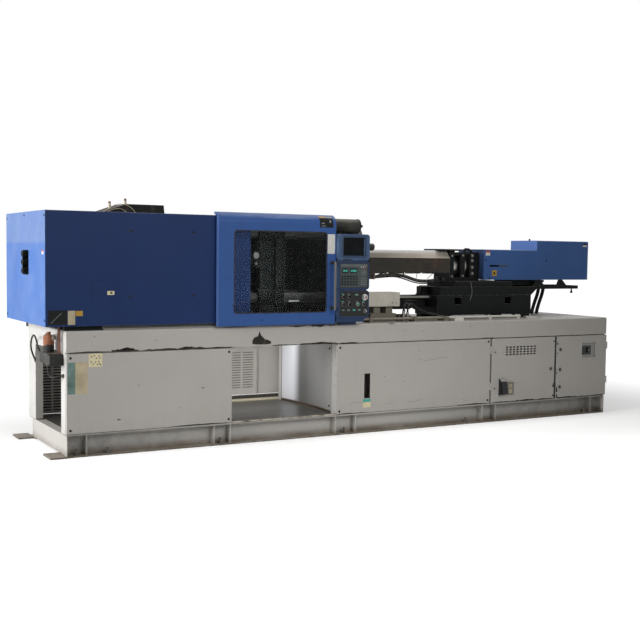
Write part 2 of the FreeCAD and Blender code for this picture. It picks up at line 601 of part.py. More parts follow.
# ---------------------------------------------------------------- electrical cabinet
CABINET_BACK = 600.0
CABINET_RIGHT = END_RIGHT - 4
MOUNTING_PLATE = CABINET_BACK - 14
cabinet = box(CABINET_LEFT, CABINET_RIGHT, PANEL_BACK + 2, CABINET_BACK, RAIL_SIZE, BAND_BOTTOM)
for room in ((CABINET_LEFT + 2, DOOR_SPLIT - 1), (DOOR_SPLIT + 1, CABINET_RIGHT - 2)):
    cabinet = cabinet.cut(box(room[0], room[1], 0, CABINET_BACK - 2, RAIL_SIZE + 2, BAND_BOTTOM - 2))

BREAKER_LEFT = BASE_LENGTH - 336.0
BREAKER_RIGHT = BREAKER_LEFT + 116.0
BREAKER_TOP = PANEL_TOP - 103.0
BREAKER_BOTTOM = BREAKER_TOP - 86.0
BREAKER_FRONT, BREAKER_BACK = 8.0, 96.0
TOGGLE_X, TOGGLE_Z = BREAKER_LEFT + 64.0, BREAKER_BOTTOM + 44.0
TOGGLE_RADIUS = 9.0
TOGGLE_PIN_RADIUS = 3.0
breaker = box(BREAKER_LEFT, BREAKER_RIGHT, BREAKER_FRONT, BREAKER_BACK, BREAKER_BOTTOM, BREAKER_TOP)
breaker = breaker.cut(box(TOGGLE_X - 13, TOGGLE_X + 13, 0, 40, TOGGLE_Z - 26, TOGGLE_Z + 26))
breaker = breaker.cut(rod_x(TOGGLE_X - 20, TOGGLE_X + 20, BREAKER_FRONT + 14, TOGGLE_Z,
                            TOGGLE_PIN_RADIUS + RUNNING_FIT))
bracket = box(BREAKER_LEFT - 10, CABINET_RIGHT - 2, BREAKER_BACK, BREAKER_BACK + 4,
              BREAKER_BOTTOM - 20, BREAKER_TOP + 20)


def control_gear():
    """Mounting plates with their rows of switchgear, one plate in each half of the cabinet."""
    pieces = []
    face, top = MOUNTING_PLATE, PANEL_TOP
    plates = ((CABINET_LEFT + 40, DOOR_SPLIT - 40), (DOOR_SPLIT + 40, CABINET_RIGHT - 40))
    for left, right in plates:
        pieces.append(box(left, right, face, CABINET_BACK - 2, RAIL_SIZE + 35, top - 29))
        for level in (430, top - 179):
            pieces.append(box(left + 20, right - 20, face - 50, face, level, level + 40))
        count = int((right - left - 60) // 92)
        for column in range(count):
            x = left + 30 + column * 92
            pieces.append(box(x, x + 72, face - 95, face, 480, 570))
            pieces.append(box(x, x + 60, face - 80, face, top - 124, top - 49))
        pieces.append(box(left + 30, right - 200, face - 180, face, 230, 400))
    return pieces


gear = control_gear()
half = len(gear) // 2
save("cabinet_shell", cabinet, join(*gear[:half]), join(*gear[half:]), join(breaker, bracket))

toggle = join(rod_x(TOGGLE_X - 12, TOGGLE_X + 12, BREAKER_FRONT + 14, TOGGLE_Z, TOGGLE_RADIUS),
              rod_x(TOGGLE_X - 18, TOGGLE_X + 18, BREAKER_FRONT + 14, TOGGLE_Z, TOGGLE_PIN_RADIUS),
              box(TOGGLE_X - 9, TOGGLE_X + 9, BREAKER_FRONT - 14, BREAKER_FRONT + 14,
                  TOGGLE_Z - 5, TOGGLE_Z + 5))
save("breaker_toggle", toggle)


def door_knuckles(x, panel_edge):
    """Moving knuckles above the fixed ones, with the leaf that carries them."""
    tabs, bores = [], []
    for z in HINGE_LEVELS:
        z0, z1 = z + KNUCKLE + LOOSE_FIT, z + 2 * KNUCKLE
        tabs.append(rod_z(z0, z1, x, HINGE_Y, HINGE_RADIUS))
        near, far = min(x, panel_edge), max(x, panel_edge)
        tabs.append(box(near, far, HINGE_Y - 2, HINGE_Y + 2, z0, z1))
        bores.append(rod_z(z0 - 1, z1 + 1, x, HINGE_Y, HINGE_PIN_RADIUS + RUNNING_FIT))
    return tabs, bores


# Left cabinet door with its air slots, inlet socket and outlet plate
LEFT_DOOR_RIGHT = DOOR_SPLIT - DOOR_GAP / 2
door = pan(CABINET_LEFT, LEFT_DOOR_RIGHT, PANEL_BOTTOM, PANEL_TOP)
VENT_LEFT = CABINET_LEFT + 167.0
VENT_PITCH, VENT_WIDTH = 42.0, 28.0
vent_columns = [(VENT_LEFT + VENT_PITCH * i, VENT_LEFT + VENT_PITCH * i + VENT_WIDTH) for i in range(9)]
door = door.cut(slots(vent_columns, PANEL_TOP - 161, 23, 4, 13, 0, PANEL_FRONT + PANEL_SHEET + 1))
tabs, bores = door_knuckles(LEFT_HINGE_X, CABINET_LEFT + 3)
door = join(door, *tabs)
for bore in bores:
    door = door.cut(bore)
LOCK_X, LOCK_Z = DOOR_SPLIT - 57.0, 470.0
LATCH_X = DOOR_SPLIT + 60.0
LATCH_LEVELS = (("latch_top", PANEL_TOP - 129.0), ("latch_middle", 456.0), ("latch_bottom", 287.0))
LATCH_SHAFT_RADIUS = 5.0
LATCH_KNOB_RADIUS = 16.0


def latch_hole(x, z):
    return rod_y(0, PANEL_BACK, x, z, LATCH_SHAFT_RADIUS + RUNNING_FIT)


def latch(x, z, towards):
    """Quarter-turn latch: knob with a finger bar outside, shaft, tongue inside."""
    knob = rod_y(PANEL_FRONT - 5, PANEL_FRONT - LOOSE_FIT, x, z, LATCH_KNOB_RADIUS)
    bar = box(x - 3, x + 3, PANEL_FRONT - 14, PANEL_FRONT - 5, z - 13, z + 13)
    shaft = rod_y(PANEL_FRONT - LOOSE_FIT, PANEL_BACK - 8, x, z, LATCH_SHAFT_RADIUS)
    tip = x + towards * 34
    tongue = box(min(x, tip) - 6, max(x, tip) + 6, PANEL_BACK - 12, PANEL_BACK - 8, z - 8, z + 8)
    return join(knob, bar, shaft, tongue)


door = door.cut(latch_hole(LOCK_X, LOCK_Z))
SOCKET_LEFT = CABINET_LEFT + 69.0
SOCKET_RIGHT = SOCKET_LEFT + 100.0
SOCKET_BOTTOM, SOCKET_TOP, SOCKET_PIN = 246.0, 372.0, 392.0
socket = prism_x([(PANEL_FRONT, SOCKET_BOTTOM), (PANEL_FRONT - 52, SOCKET_BOTTOM + 14),
                  (PANEL_FRONT - 34, SOCKET_TOP), (PANEL_FRONT, SOCKET_TOP)],
                 SOCKET_LEFT + 12, SOCKET_RIGHT - 12)
socket = rounded(socket, 6, lambda e: runs_along(e, "x") and e.BoundBox.YMin < PANEL_FRONT - 20)
socket_mouth = rod_y(-80, PANEL_FRONT - 8, (SOCKET_LEFT + SOCKET_RIGHT) / 2, SOCKET_BOTTOM + 66, 27)
socket = socket.cut(socket_mouth)
for side in (SOCKET_LEFT + 12, SOCKET_RIGHT - 16):
    socket = join(socket, box(side, side + 4, PANEL_FRONT - 24, PANEL_FRONT, SOCKET_TOP, SOCKET_PIN + 8))
pin_y = PANEL_FRONT - 14
socket = join(socket, rod_x(SOCKET_LEFT + 12, SOCKET_RIGHT - 12, pin_y, SOCKET_PIN, 3))
OUTLET_LEFT = SOCKET_RIGHT + 14.0
OUTLET_RIGHT = OUTLET_LEFT + 84.0
OUTLET_BOTTOM, OUTLET_TOP = 243.0, 367.0
outlet = rounded_box_y(OUTLET_LEFT, OUTLET_RIGHT, PANEL_FRONT - 6, PANEL_FRONT,
                       OUTLET_BOTTOM, OUTLET_TOP, 5)
save("cabinet_door_left", door, socket, outlet)
save("door_lock", latch(LOCK_X, LOCK_Z, -1))

lid_slope = [(PANEL_FRONT - 38, SOCKET_TOP + 2), (PANEL_FRONT - 62, SOCKET_BOTTOM + 18),
             (PANEL_FRONT - 68, SOCKET_BOTTOM + 20), (PANEL_FRONT - 46, SOCKET_TOP + 8),
             (PANEL_FRONT - 20, SOCKET_PIN + 8), (PANEL_FRONT - 8, SOCKET_PIN + 8),
             (PANEL_FRONT - 8, SOCKET_PIN - 6), (PANEL_FRONT - 20, SOCKET_PIN - 6)]
lid = prism_x(lid_slope, SOCKET_LEFT + 17, SOCKET_RIGHT - 17)
save("socket_lid", lid.cut(rod_x(SOCKET_LEFT, SOCKET_RIGHT, pin_y, SOCKET_PIN, 3 + RUNNING_FIT)))

# Right cabinet door with the breaker's window and three latches
right_door = pan(DOOR_SPLIT + DOOR_GAP / 2, BASE_LENGTH - 17, PANEL_BOTTOM, PANEL_TOP)
pane = box(BREAKER_LEFT - 8, BREAKER_RIGHT + 54, -PANEL_BACK, PANEL_BACK,
           BREAKER_BOTTOM - 23, BREAKER_TOP + 28)
rim = box(BREAKER_LEFT - 14, BREAKER_RIGHT + 60, PANEL_FRONT - 3, PANEL_FRONT,
          BREAKER_BOTTOM - 29, BREAKER_TOP + 34)
tabs, bores = door_knuckles(RIGHT_HINGE_X, BASE_LENGTH - 20)
right_door = join(right_door, rim, *tabs).cut(pane)
for bore in bores + [latch_hole(LATCH_X, z) for _, z in LATCH_LEVELS]:
    right_door = right_door.cut(bore)
save("cabinet_door_right", right_door)
for name, z in LATCH_LEVELS:
    save(name, latch(LATCH_X, z, 1))


# ---------------------------------------------------------------- hydraulic power pack
def power_pack():
    """Oil tank with its motor and pump on top, inside the middle of the base."""
    top = BAND_BOTTOM - 267
    level = BAND_BOTTOM - 132
    left = BAY_RIGHT + 109
    tank = box(left, CABINET_POST - 225, AXIS_DEPTH - 360, AXIS_DEPTH + 340, RAIL_SIZE, top)
    tank = rounded(tank, 20, lambda e: runs_along(e, "z"))
    skids = [box(CROSS_BEAMS[2], CROSS_BEAMS[3] + BEAM_WIDTH, y, y + 80, RAIL_SIZE - RAIL_FLANGE, RAIL_SIZE)
             for y in (AXIS_DEPTH - 300, AXIS_DEPTH + 220)]
    tank = join(tank, *skids)
    motor = join(rod_x(left + 130, left + 530, AXIS_DEPTH, level, 120),
                 box(left + 170, left + 490, AXIS_DEPTH - 90, AXIS_DEPTH + 90, top, level - 55),
                 rod_x(left + 530, left + 580, AXIS_DEPTH, level, 80))
    pump = join(rod_x(left + 580, left + 800, AXIS_DEPTH, level, 65),
                box(left + 630, left + 770, AXIS_DEPTH - 60, AXIS_DEPTH + 60, top, level - 55))
    return tank, motor, pump


save("power_pack", *power_pack())
tank_front = AXIS_DEPTH - 360
fittings = [box(GAUGE_LEFT + 8, GAUGE_LEFT + GAUGE_WIDTH - 8, tank_front - 50, tank_front, z0, z1)
            for z0, z1 in ((GAUGE_BOTTOM, GAUGE_BOTTOM + 37), (GAUGE_TOP - 38, GAUGE_TOP - 3))]
gauge = join(rod_z(GAUGE_BOTTOM + 37, GAUGE_TOP - 38, GAUGE_LEFT + GAUGE_WIDTH / 2, tank_front - 28, 12),
             *fittings)
save("level_gauge", gauge)


# ---------------------------------------------------------------- valve group at the left end
VALVE_BOTTOM = BASE_HEIGHT - 260.0
VALVE_TOP = VALVE_BOTTOM + 86.0
VALVE_BACK = 330.0
OUTLET_BOX_BACK = VALVE_BACK + 42.0
FILTER_RADIUS = 40.0
DROP_PIPE_RADIUS = 8.0


def end_valves():
    """Valve block with a filter bottle and two pipes that rise into the hood."""
    low, high = VALVE_BOTTOM, VALVE_TOP
    block = prism_y([(-112, low + 10), (-96, low), (0, low), (0, high - 6), (-20, high), (-112, high)],
                    70, VALVE_BACK)
    block = join(block, box(-96, -40, VALVE_BACK, OUTLET_BOX_BACK, low + 22, low + 70),
                 box(-112, -70, 40, 70, low + 15, low + 75))
    filter_x, filter_y = -62.0, VALVE_BACK - 80
    bottle = rod_z(high, high + 130, filter_x, filter_y, FILTER_RADIUS)
    bottle = rounded(bottle, 6, lambda e: e.BoundBox.ZMin > high + 129)
    bottle = join(bottle, rod_z(high + 130, high + 154, filter_x, filter_y, 16),
                  rod_z(high + 66, high + 74, filter_x, filter_y, FILTER_RADIUS + 3))
    pipes = [rod_z(high, HOOD_BOTTOM + 12, -24, SILL_FLANGE + offset, DROP_PIPE_RADIUS)
             for offset in (12, 42)]
    return [block, bottle] + pipes


save("end_valve_block", *end_valves())


# ---------------------------------------------------------------- bent cords and pipes
BEND_REACH = 0.45            # share of the shorter run that each arc takes up


def bent_tube(points, radius, label):
    """Straight runs joined by tangent arcs, each arc as large as its two runs allow."""
    points = [V(*p) for p in points]
    edges, start, radii = [], points[0], []
    for before, corner, after in zip(points, points[1:], points[2:]):
        incoming, outgoing = corner - before, after - corner
        half_turn = incoming.getAngle(outgoing) / 2
        reach = BEND_REACH * min(incoming.Length, outgoing.Length)
        bend = reach / math.tan(half_turn)
        first = corner - incoming.normalize() * reach
        last = corner + outgoing.normalize() * reach
        inwards = ((first + last) * 0.5 - corner).normalize()
        apex = corner + inwards * bend * (1 / math.cos(half_turn) - 1)
        edges.append(Part.makeLine(start, first))
        edges.append(Part.Arc(first, apex, last).toShape())
        radii.append(bend)
        start = last
    edges.append(Part.makeLine(start, points[-1]))
    path = Part.Wire(edges)
    ring = Part.Wire(Part.makeCircle(radius, points[0], points[1] - points[0]))
    tube = path.makePipeShell([ring], True, False)
    expected = math.pi * radius ** 2 * path.Length
    print(label, "length", round(path.Length), "radii", [round(r) for r in radii],
          "volume ratio", round(tube.Volume / expected, 4))
    return tube


# ---------------------------------------------------------------- clamp: platens, bars and ram
PLATEN_CORNER = 30.0
FOOT_WIDTH = 100.0


def at_bars(make):
    return [make(AXIS_DEPTH + dy, AXIS_HEIGHT + dz) for dy, dz in TIE_OFFSETS]


def platen_block(x0, x1):
    block = box(x0, x1, PLATEN_FRONT, AXIS_DEPTH + HALF_PLATEN, AXIS_HEIGHT - HALF_PLATEN, PLATEN_TOP)
    return rounded(block, PLATEN_CORNER, lambda e: runs_along(e, "x"))


def feet(x0, x1, base):
    reach = HALF_PLATEN - 25
    return [box(x0, x1, y, y + FOOT_WIDTH, base, AXIS_HEIGHT - HALF_PLATEN + 20)
            for y in (AXIS_DEPTH - reach, AXIS_DEPTH + reach - FOOT_WIDTH)]


def mould_holes(face_x, direction):
    reach = MOULD_HOLE_SPACING / 2
    start = face_x if direction > 0 else face_x - MOULD_HOLE_DEPTH
    return [rod_x(start, start + MOULD_HOLE_DEPTH, AXIS_DEPTH + dy, AXIS_HEIGHT + dz, MOULD_HOLE_RADIUS)
            for dy in (-reach, reach) for dz in (-reach, reach)]


rear_right = REAR_PLATEN_LEFT + REAR_PLATEN_THICKNESS
rear_platen = join(platen_block(REAR_PLATEN_LEFT, rear_right),
                   rod_x(CYLINDER_LEFT, CYLINDER_RIGHT, AXIS_DEPTH, AXIS_HEIGHT, CYLINDER_RADIUS),
                   *feet(REAR_PLATEN_LEFT + 10, rear_right - 10, BASE_HEIGHT))
for bore in at_bars(lambda y, z: rod_x(REAR_PLATEN_LEFT, rear_right, y, z, TIE_BAR_RADIUS + LOOSE_FIT)):
    rear_platen = rear_platen.cut(bore)
rear_platen = rear_platen.cut(rod_x(CYLINDER_LEFT + 50, CYLINDER_RIGHT, AXIS_DEPTH, AXIS_HEIGHT,
                                    RAM_RADIUS + RUNNING_FIT))
PORT_Y = AXIS_DEPTH + 15
PORT_LEVELS = [AXIS_HEIGHT + 10 + step * PORT_PITCH for step in (-1, 0, 1)]
for port_z in PORT_LEVELS:
    port = rod_x(HOOD_LEFT - PORT_REACH, CYLINDER_LEFT, PORT_Y, port_z, PORT_RADIUS)
    port = port.cut(rod_x(HOOD_LEFT - PORT_REACH, HOOD_LEFT, PORT_Y, port_z, PORT_RADIUS - PORT_WALL))
    rear_platen = join(rear_platen, port)
save("rear_platen", rear_platen)
save("main_ram", rod_x(RAM_LEFT, MOVING_PLATEN_LEFT, AXIS_DEPTH, AXIS_HEIGHT, RAM_RADIUS))


def tie_bar(y, z):
    bar = rod_x(REAR_PLATEN_LEFT - 90, FIXED_PLATEN_RIGHT + 70, y, z, TIE_BAR_RADIUS)
    nuts = [rod_x(REAR_PLATEN_LEFT - 70, REAR_PLATEN_LEFT, y, z, TIE_BAR_NUT_RADIUS),
            rod_x(FIXED_PLATEN_RIGHT, FIXED_PLATEN_RIGHT + 55, y, z, TIE_BAR_NUT_RADIUS)]
    return join(bar, *nuts)


save("tie_bars", *at_bars(tie_bar))

plate_left = MOVING_PLATEN_RIGHT - MOULD_PLATE
BUSH_RADIUS = TIE_BAR_RADIUS + 38
SPIDER_RADIUS = RAM_RADIUS + 45
moving = join(platen_block(plate_left, MOVING_PLATEN_RIGHT),
              rod_x(MOVING_PLATEN_LEFT, plate_left, AXIS_DEPTH, AXIS_HEIGHT, SPIDER_RADIUS),
              *at_bars(lambda y, z: rod_x(MOVING_PLATEN_LEFT, plate_left, y, z, BUSH_RADIUS)))
ARM_HALF = 38.0
reach = TIE_BAR_SPACING / 2
for side in (-1, 1):
    y, z = AXIS_DEPTH + side * reach, AXIS_HEIGHT + side * reach
    moving = join(moving,
                  box(MOVING_PLATEN_LEFT + 20, plate_left, AXIS_DEPTH - reach, AXIS_DEPTH + reach,
                      z - ARM_HALF, z + ARM_HALF),
                  box(MOVING_PLATEN_LEFT + 20, plate_left, y - ARM_HALF, y + ARM_HALF,
                      AXIS_HEIGHT - reach, AXIS_HEIGHT + reach))
moving = join(moving, *feet(MOVING_PLATEN_LEFT + 10, MOVING_PLATEN_RIGHT - 10, BASE_HEIGHT + LOOSE_FIT))
for bore in at_bars(lambda y, z: rod_x(MOVING_PLATEN_LEFT, MOVING_PLATEN_RIGHT, y, z,
                                       TIE_BAR_RADIUS + RUNNING_FIT)):
    moving = moving.cut(bore)
moving = moving.cut(rod_x(MOVING_PLATEN_LEFT, plate_left, AXIS_DEPTH, AXIS_HEIGHT, EJECTOR_CAVITY_RADIUS))
moving = moving.cut(rod_x(plate_left, MOVING_PLATEN_RIGHT, AXIS_DEPTH, AXIS_HEIGHT,
                          EJECTOR_ROD_RADIUS + RUNNING_FIT))
for hole in mould_holes(MOVING_PLATEN_RIGHT, -1):
    moving = moving.cut(hole)
save("moving_platen", moving)

EJECTOR_LEFT = MOVING_PLATEN_LEFT + 14
save("ejector", join(rod_x(EJECTOR_LEFT, EJECTOR_LEFT + 22, AXIS_DEPTH, AXIS_HEIGHT, EJECTOR_DISC_RADIUS),
                     rod_x(EJECTOR_LEFT, MOVING_PLATEN_RIGHT - 2, AXIS_DEPTH, AXIS_HEIGHT,
                           EJECTOR_ROD_RADIUS)))

fixed = join(platen_block(FIXED_PLATEN_LEFT, FIXED_PLATEN_RIGHT),
             *feet(FIXED_PLATEN_LEFT + 10, FIXED_PLATEN_RIGHT - 10, BASE_HEIGHT))
for bore in at_bars(lambda y, z: rod_x(FIXED_PLATEN_LEFT, FIXED_PLATEN_RIGHT, y, z,
                                       TIE_BAR_RADIUS + LOOSE_FIT)):
    fixed = fixed.cut(bore)
pocket_left = FIXED_PLATEN_LEFT + LOCATING_DEPTH + SPRUE_DEPTH
fixed = fixed.cut(rod_x(FIXED_PLATEN_LEFT, FIXED_PLATEN_LEFT + LOCATING_DEPTH, AXIS_DEPTH, AXIS_HEIGHT,
                        LOCATING_RADIUS))
fixed = fixed.cut(rod_x(FIXED_PLATEN_LEFT, FIXED_PLATEN_RIGHT, AXIS_DEPTH, AXIS_HEIGHT, SPRUE_RADIUS))
fixed = fixed.cut(rod_x(pocket_left, FIXED_PLATEN_RIGHT, AXIS_DEPTH, AXIS_HEIGHT, NOZZLE_POCKET_RADIUS))
for hole in mould_holes(FIXED_PLATEN_LEFT, 1):
    fixed = fixed.cut(hole)
save("fixed_platen", fixed)

# Accumulator in its cradles on the fixed platen's front face, and the small bottle behind it
ACCUMULATOR_Y = PLATEN_FRONT - ACCUMULATOR_GAP - ACCUMULATOR_RADIUS
ACCUMULATOR_Z = PLATEN_TOP - 9.0
ACCUMULATOR_RIGHT = FIXED_PLATEN_RIGHT - ACCUMULATOR_INSET
CRADLE_THICKNESS = 14.0
bottle = rod_x(ACCUMULATOR_RIGHT - ACCUMULATOR_LENGTH, ACCUMULATOR_RIGHT, ACCUMULATOR_Y, ACCUMULATOR_Z,
               ACCUMULATOR_RADIUS)
bottle = rounded(bottle, 12, lambda e: isinstance(e.Curve, Part.Circle))
bottle = join(bottle, rod_x(ACCUMULATOR_RIGHT, ACCUMULATOR_RIGHT + 40, ACCUMULATOR_Y, ACCUMULATOR_Z, 12))
seat = rod_x(FIXED_PLATEN_LEFT, FIXED_PLATEN_RIGHT, ACCUMULATOR_Y, ACCUMULATOR_Z, ACCUMULATOR_RADIUS)
cradles = [box(x, x + CRADLE_THICKNESS, ACCUMULATOR_Y - 20, PLATEN_FRONT,
               ACCUMULATOR_Z - ACCUMULATOR_RADIUS - 6, ACCUMULATOR_Z).cut(seat)
           for x in (FIXED_PLATEN_LEFT + 30, ACCUMULATOR_RIGHT - 50)]
small_end = FIXED_PLATEN_RIGHT + 212
small_bottle = rounded(rod_x(FIXED_PLATEN_RIGHT, small_end, PLATEN_FRONT + 85, AXIS_HEIGHT + 169, 32), 10,
                       lambda e: isinstance(e.Curve, Part.Circle) and e.BoundBox.XMin > small_end - 1)
save("accumulator", bottle, cradles[0], cradles[1], small_bottle)


# ---------------------------------------------------------------- clamp covers
HOOD_EDGE = 28.0             # inward edge beside the doors
TOP_GUARD_LEFT = HOOD_LEFT + 526.0
TOP_GUARD_RIGHT = HOOD_LEFT + 1068.0
TOP_GUARD_FRONT = AXIS_DEPTH - 180.0
TOP_GUARD_BACK = AXIS_DEPTH + 160.0
TOP_GUARD_RISE = 79.0
BREATHER_RADIUS = 9.0


def hood():
    """Front, top and left end of the clamp cover, with its inward flanges."""
    sheet = COVER_SHEET
    outer = box(HOOD_LEFT, HOOD_RIGHT, 0, HOOD_DEPTH, HOOD_BOTTOM, HOOD_TOP)
    outer = rounded(outer, 8, lambda e: (runs_along(e, "x") and e.BoundBox.ZMin > HOOD_TOP - 1
                                         and e.BoundBox.YMax < 1))
    inner = box(HOOD_LEFT + sheet, HOOD_RIGHT + 1, sheet, HOOD_DEPTH + 1,
                HOOD_BOTTOM + sheet, HOOD_TOP - sheet)
    shell = outer.cut(inner)
    bottom = box(HOOD_LEFT + SILL_FLANGE, HOOD_RIGHT + 1, SILL_FLANGE, HOOD_DEPTH + 1,
                 HOOD_BOTTOM - 1, HOOD_BOTTOM + sheet + 1)
    shell = shell.cut(bottom)
    window = box(HOOD_LEFT - 1, HOOD_LEFT + 10, PORT_Y - 101, PORT_Y + 86,
                 PORT_LEVELS[0] - PORT_RADIUS - 5, PORT_LEVELS[-1] + PORT_RADIUS + 3)
    window = rounded(window, 15, lambda e: runs_along(e, "x"))
    top_opening = box(TOP_GUARD_LEFT + 48, TOP_GUARD_RIGHT - 54, TOP_GUARD_FRONT + 40, TOP_GUARD_BACK - 40,
                      HOOD_TOP - 10, HOOD_TOP + 1)
    edge = box(HOOD_RIGHT - sheet, HOOD_RIGHT, sheet, HOOD_EDGE, HOOD_BOTTOM + sheet, HOOD_TOP - sheet)
    return join(shell.cut(window).cut(top_opening), edge)


save("clamp_hood", hood())
rear_cover = box(HOOD_LEFT + COVER_SHEET, HOOD_RIGHT, HOOD_DEPTH - 24, HOOD_DEPTH,
                 HOOD_BOTTOM + COVER_SHEET, HOOD_TOP - COVER_SHEET)
rear_cover = rear_cover.cut(box(HOOD_LEFT + 2 * COVER_SHEET, HOOD_RIGHT - COVER_SHEET, HOOD_DEPTH - 30,
                                HOOD_DEPTH - COVER_SHEET, HOOD_BOTTOM + 2 * COVER_SHEET,
                                HOOD_TOP - 2 * COVER_SHEET))
save("clamp_rear_cover", rear_cover)


def top_guard():
    """Folded guard over the pipework on top of the hood, with two upright breathers."""
    left, right, peak = TOP_GUARD_LEFT, TOP_GUARD_RIGHT, HOOD_TOP + TOP_GUARD_RISE
    outer = prism_y([(left, HOOD_TOP), (left + 224, peak), (right - 9, peak), (right, HOOD_TOP)],
                    TOP_GUARD_FRONT, TOP_GUARD_BACK)
    inner = prism_y([(left + 16, HOOD_TOP), (left + 226, peak - 4), (right - 13, peak - 4),
                     (right - 4, HOOD_TOP)], TOP_GUARD_FRONT + COVER_SHEET, TOP_GUARD_BACK - COVER_SHEET)
    y = TOP_GUARD_FRONT + 22
    places = ((left + 90, HOOD_TOP + 33, peak + 18), (left + 218, peak - 2, peak + 44))
    breathers = [join(rod_z(z0, z0 + 26, x, y, BREATHER_RADIUS),
                      rod_z(z0 + 26, z1, x, y, BREATHER_RADIUS - 3))
                 for x, z0, z1 in places]
    return [outer.cut(inner)] + [breather.cut(outer) for breather in breathers]


save("top_guard", *top_guard())


def guard_frame():
    """Sills, post, top beam and door track on the operator's side of the mould space."""
    track_top = BASE_HEIGHT + TRACK_HEIGHT
    sill = box(0, HOOD_RIGHT, SILL_FLANGE - 34, SILL_FLANGE - 2, BASE_HEIGHT, HOOD_BOTTOM)
    track = box(60, POST_LEFT, TRACK_NEAR, TRACK_NEAR + TRACK_WIDTH, BASE_HEIGHT, track_top)
    cross = box(HOOD_RIGHT - 100, HOOD_RIGHT, TRACK_NEAR, SILL_FLANGE - 2, BASE_HEIGHT, track_top)
    post = box(POST_LEFT, POST_RIGHT, TRACK_NEAR, TRACK_NEAR + 48, BASE_HEIGHT, HOOD_TOP)
    beam = box(HOOD_RIGHT, POST_RIGHT, TRACK_NEAR, TRACK_NEAR + 26, HOOD_TOP - 44, HOOD_TOP)
    return join(sill, track, cross, post, beam)


front_frame = guard_frame()
rear_frame = mirrored(front_frame)
rear_line = HOOD_DEPTH - TRACK_NEAR
rear_end = FIXED_PLATEN_RIGHT + 40
shelf = box(0, rear_end, BASE_DEPTH, rear_line, BASE_HEIGHT - 40, BASE_HEIGHT)
rear_guard = join(box(POST_RIGHT, rear_end, rear_line - COVER_SHEET, rear_line, BASE_HEIGHT, HOOD_TOP),
                  box(rear_end - COVER_SHEET, rear_end, rear_line - 120, rear_line, BASE_HEIGHT, HOOD_TOP))
save("guard_frame", front_frame, join(rear_frame, shelf, rear_guard))


# ---------------------------------------------------------------- sliding doors
def door_outline(inset):
    """Half of the door's section: up the face, round the rolled top, back along the top."""
    face, top = DOOR_FACE + inset, DOOR_TOP - inset
    radius = DOOR_BEND - inset
    centre_y, centre_z = DOOR_FACE + DOOR_BEND, DOOR_TOP - DOOR_BEND
    corner = math.sqrt(0.5) * radius
    arc = Part.Arc(V(0, face, centre_z), V(0, centre_y - corner, centre_z + corner), V(0, centre_y, top))
    return arc.toShape(), (face, centre_z), (centre_y, top)


def door_section(x0, x1, back, inset):
    """The solid inside the door's outline at the given inset, closed along y = back."""
    arc, low, high = door_outline(inset)
    bottom = DOOR_BOTTOM + inset
    corners = [V(0, high[0], high[1]), V(0, back, high[1]), V(0, back, bottom),
               V(0, low[0], bottom), V(0, low[0], low[1])]
    edges = [arc] + [Part.makeLine(a, b) for a, b in zip(corners, corners[1:])]
    section = Part.Face(Part.Wire(Part.__sortEdges__(edges)))
    solid = section.extrude(V(x1 - x0, 0, 0))
    solid.translate(V(x0, 0, 0))
    return solid


def sliding_door(with_window):
    sheet = COVER_SHEET
    back = 36.0
    shell = door_section(DOOR_LEFT, DOOR_RIGHT, back, 0)
    shell = shell.cut(door_section(DOOR_LEFT + sheet, DOOR_RIGHT - sheet, back + 1, sheet))
    keep_clear = box(DOOR_LEFT - 1, DOOR_RIGHT + 1, -12, back + 1, DOOR_BOTTOM - 1, HOOD_TOP + 8)
    shell = shell.cut(keep_clear)
    if with_window:
        shell = shell.cut(rounded_box_y(WINDOW_LEFT, WINDOW_RIGHT, DOOR_FACE - 1, DOOR_FACE + 5,
                                        WINDOW_BOTTOM, WINDOW_TOP, WINDOW_CORNER))
    pieces = [shell]
    top = BASE_HEIGHT + TRACK_HEIGHT + LOOSE_FIT
    for x in (DOOR_LEFT + 60, DOOR_RIGHT - 90):
        pieces.append(box(x - 18, x + 18, -14, TRACK_NEAR - 2, top + 4, top + 18))
        pieces.append(rod_y(TRACK_NEAR - 2, TRACK_NEAR + TRACK_WIDTH - 2, x, top + ROLLER_RADIUS,
                            ROLLER_RADIUS))
    for x in (DOOR_LEFT + 10, DOOR_RIGHT - 60):
        pieces.append(box(x, x + 40, 16, back, HOOD_TOP + LOOSE_FIT, DOOR_TOP - sheet))
    return join(*pieces)


def door_grip():
    """Upright tube on two standoffs."""
    y = DOOR_FACE - GRIP_REACH
    tube = rod_z(GRIP_BOTTOM, GRIP_TOP, GRIP_X, y, GRIP_RADIUS)
    standoffs = [rod_y(y, DOOR_FACE, GRIP_X, z, GRIP_STANDOFF_RADIUS)
                 for z in (GRIP_BOTTOM + 14, GRIP_TOP - 8)]
    return join(tube, *standoffs)


save("front_door", sliding_door(True))
save("door_window", rounded_box_y(WINDOW_LEFT - WINDOW_LAP, WINDOW_RIGHT + WINDOW_LAP,
                                  DOOR_FACE + COVER_SHEET, DOOR_FACE + COVER_SHEET + WINDOW_SHEET,
                                  WINDOW_BOTTOM - WINDOW_LAP, WINDOW_TOP + WINDOW_LAP, WINDOW_CORNER))
save("door_handle", door_grip())
save("rear_door", mirrored(join(sliding_door(False), door_grip())))


# ---------------------------------------------------------------- control panel
PLATE_CORNER = 8.0
PLATE_LEVELS = ((CONTROL_KEYS + 18, CONTROL_MONITOR - 25), (CONTROL_SWITCHES + 14, CONTROL_KEYS - 15))
SHAFT_REACH = 18.0           # shafts end this far behind the plate's face


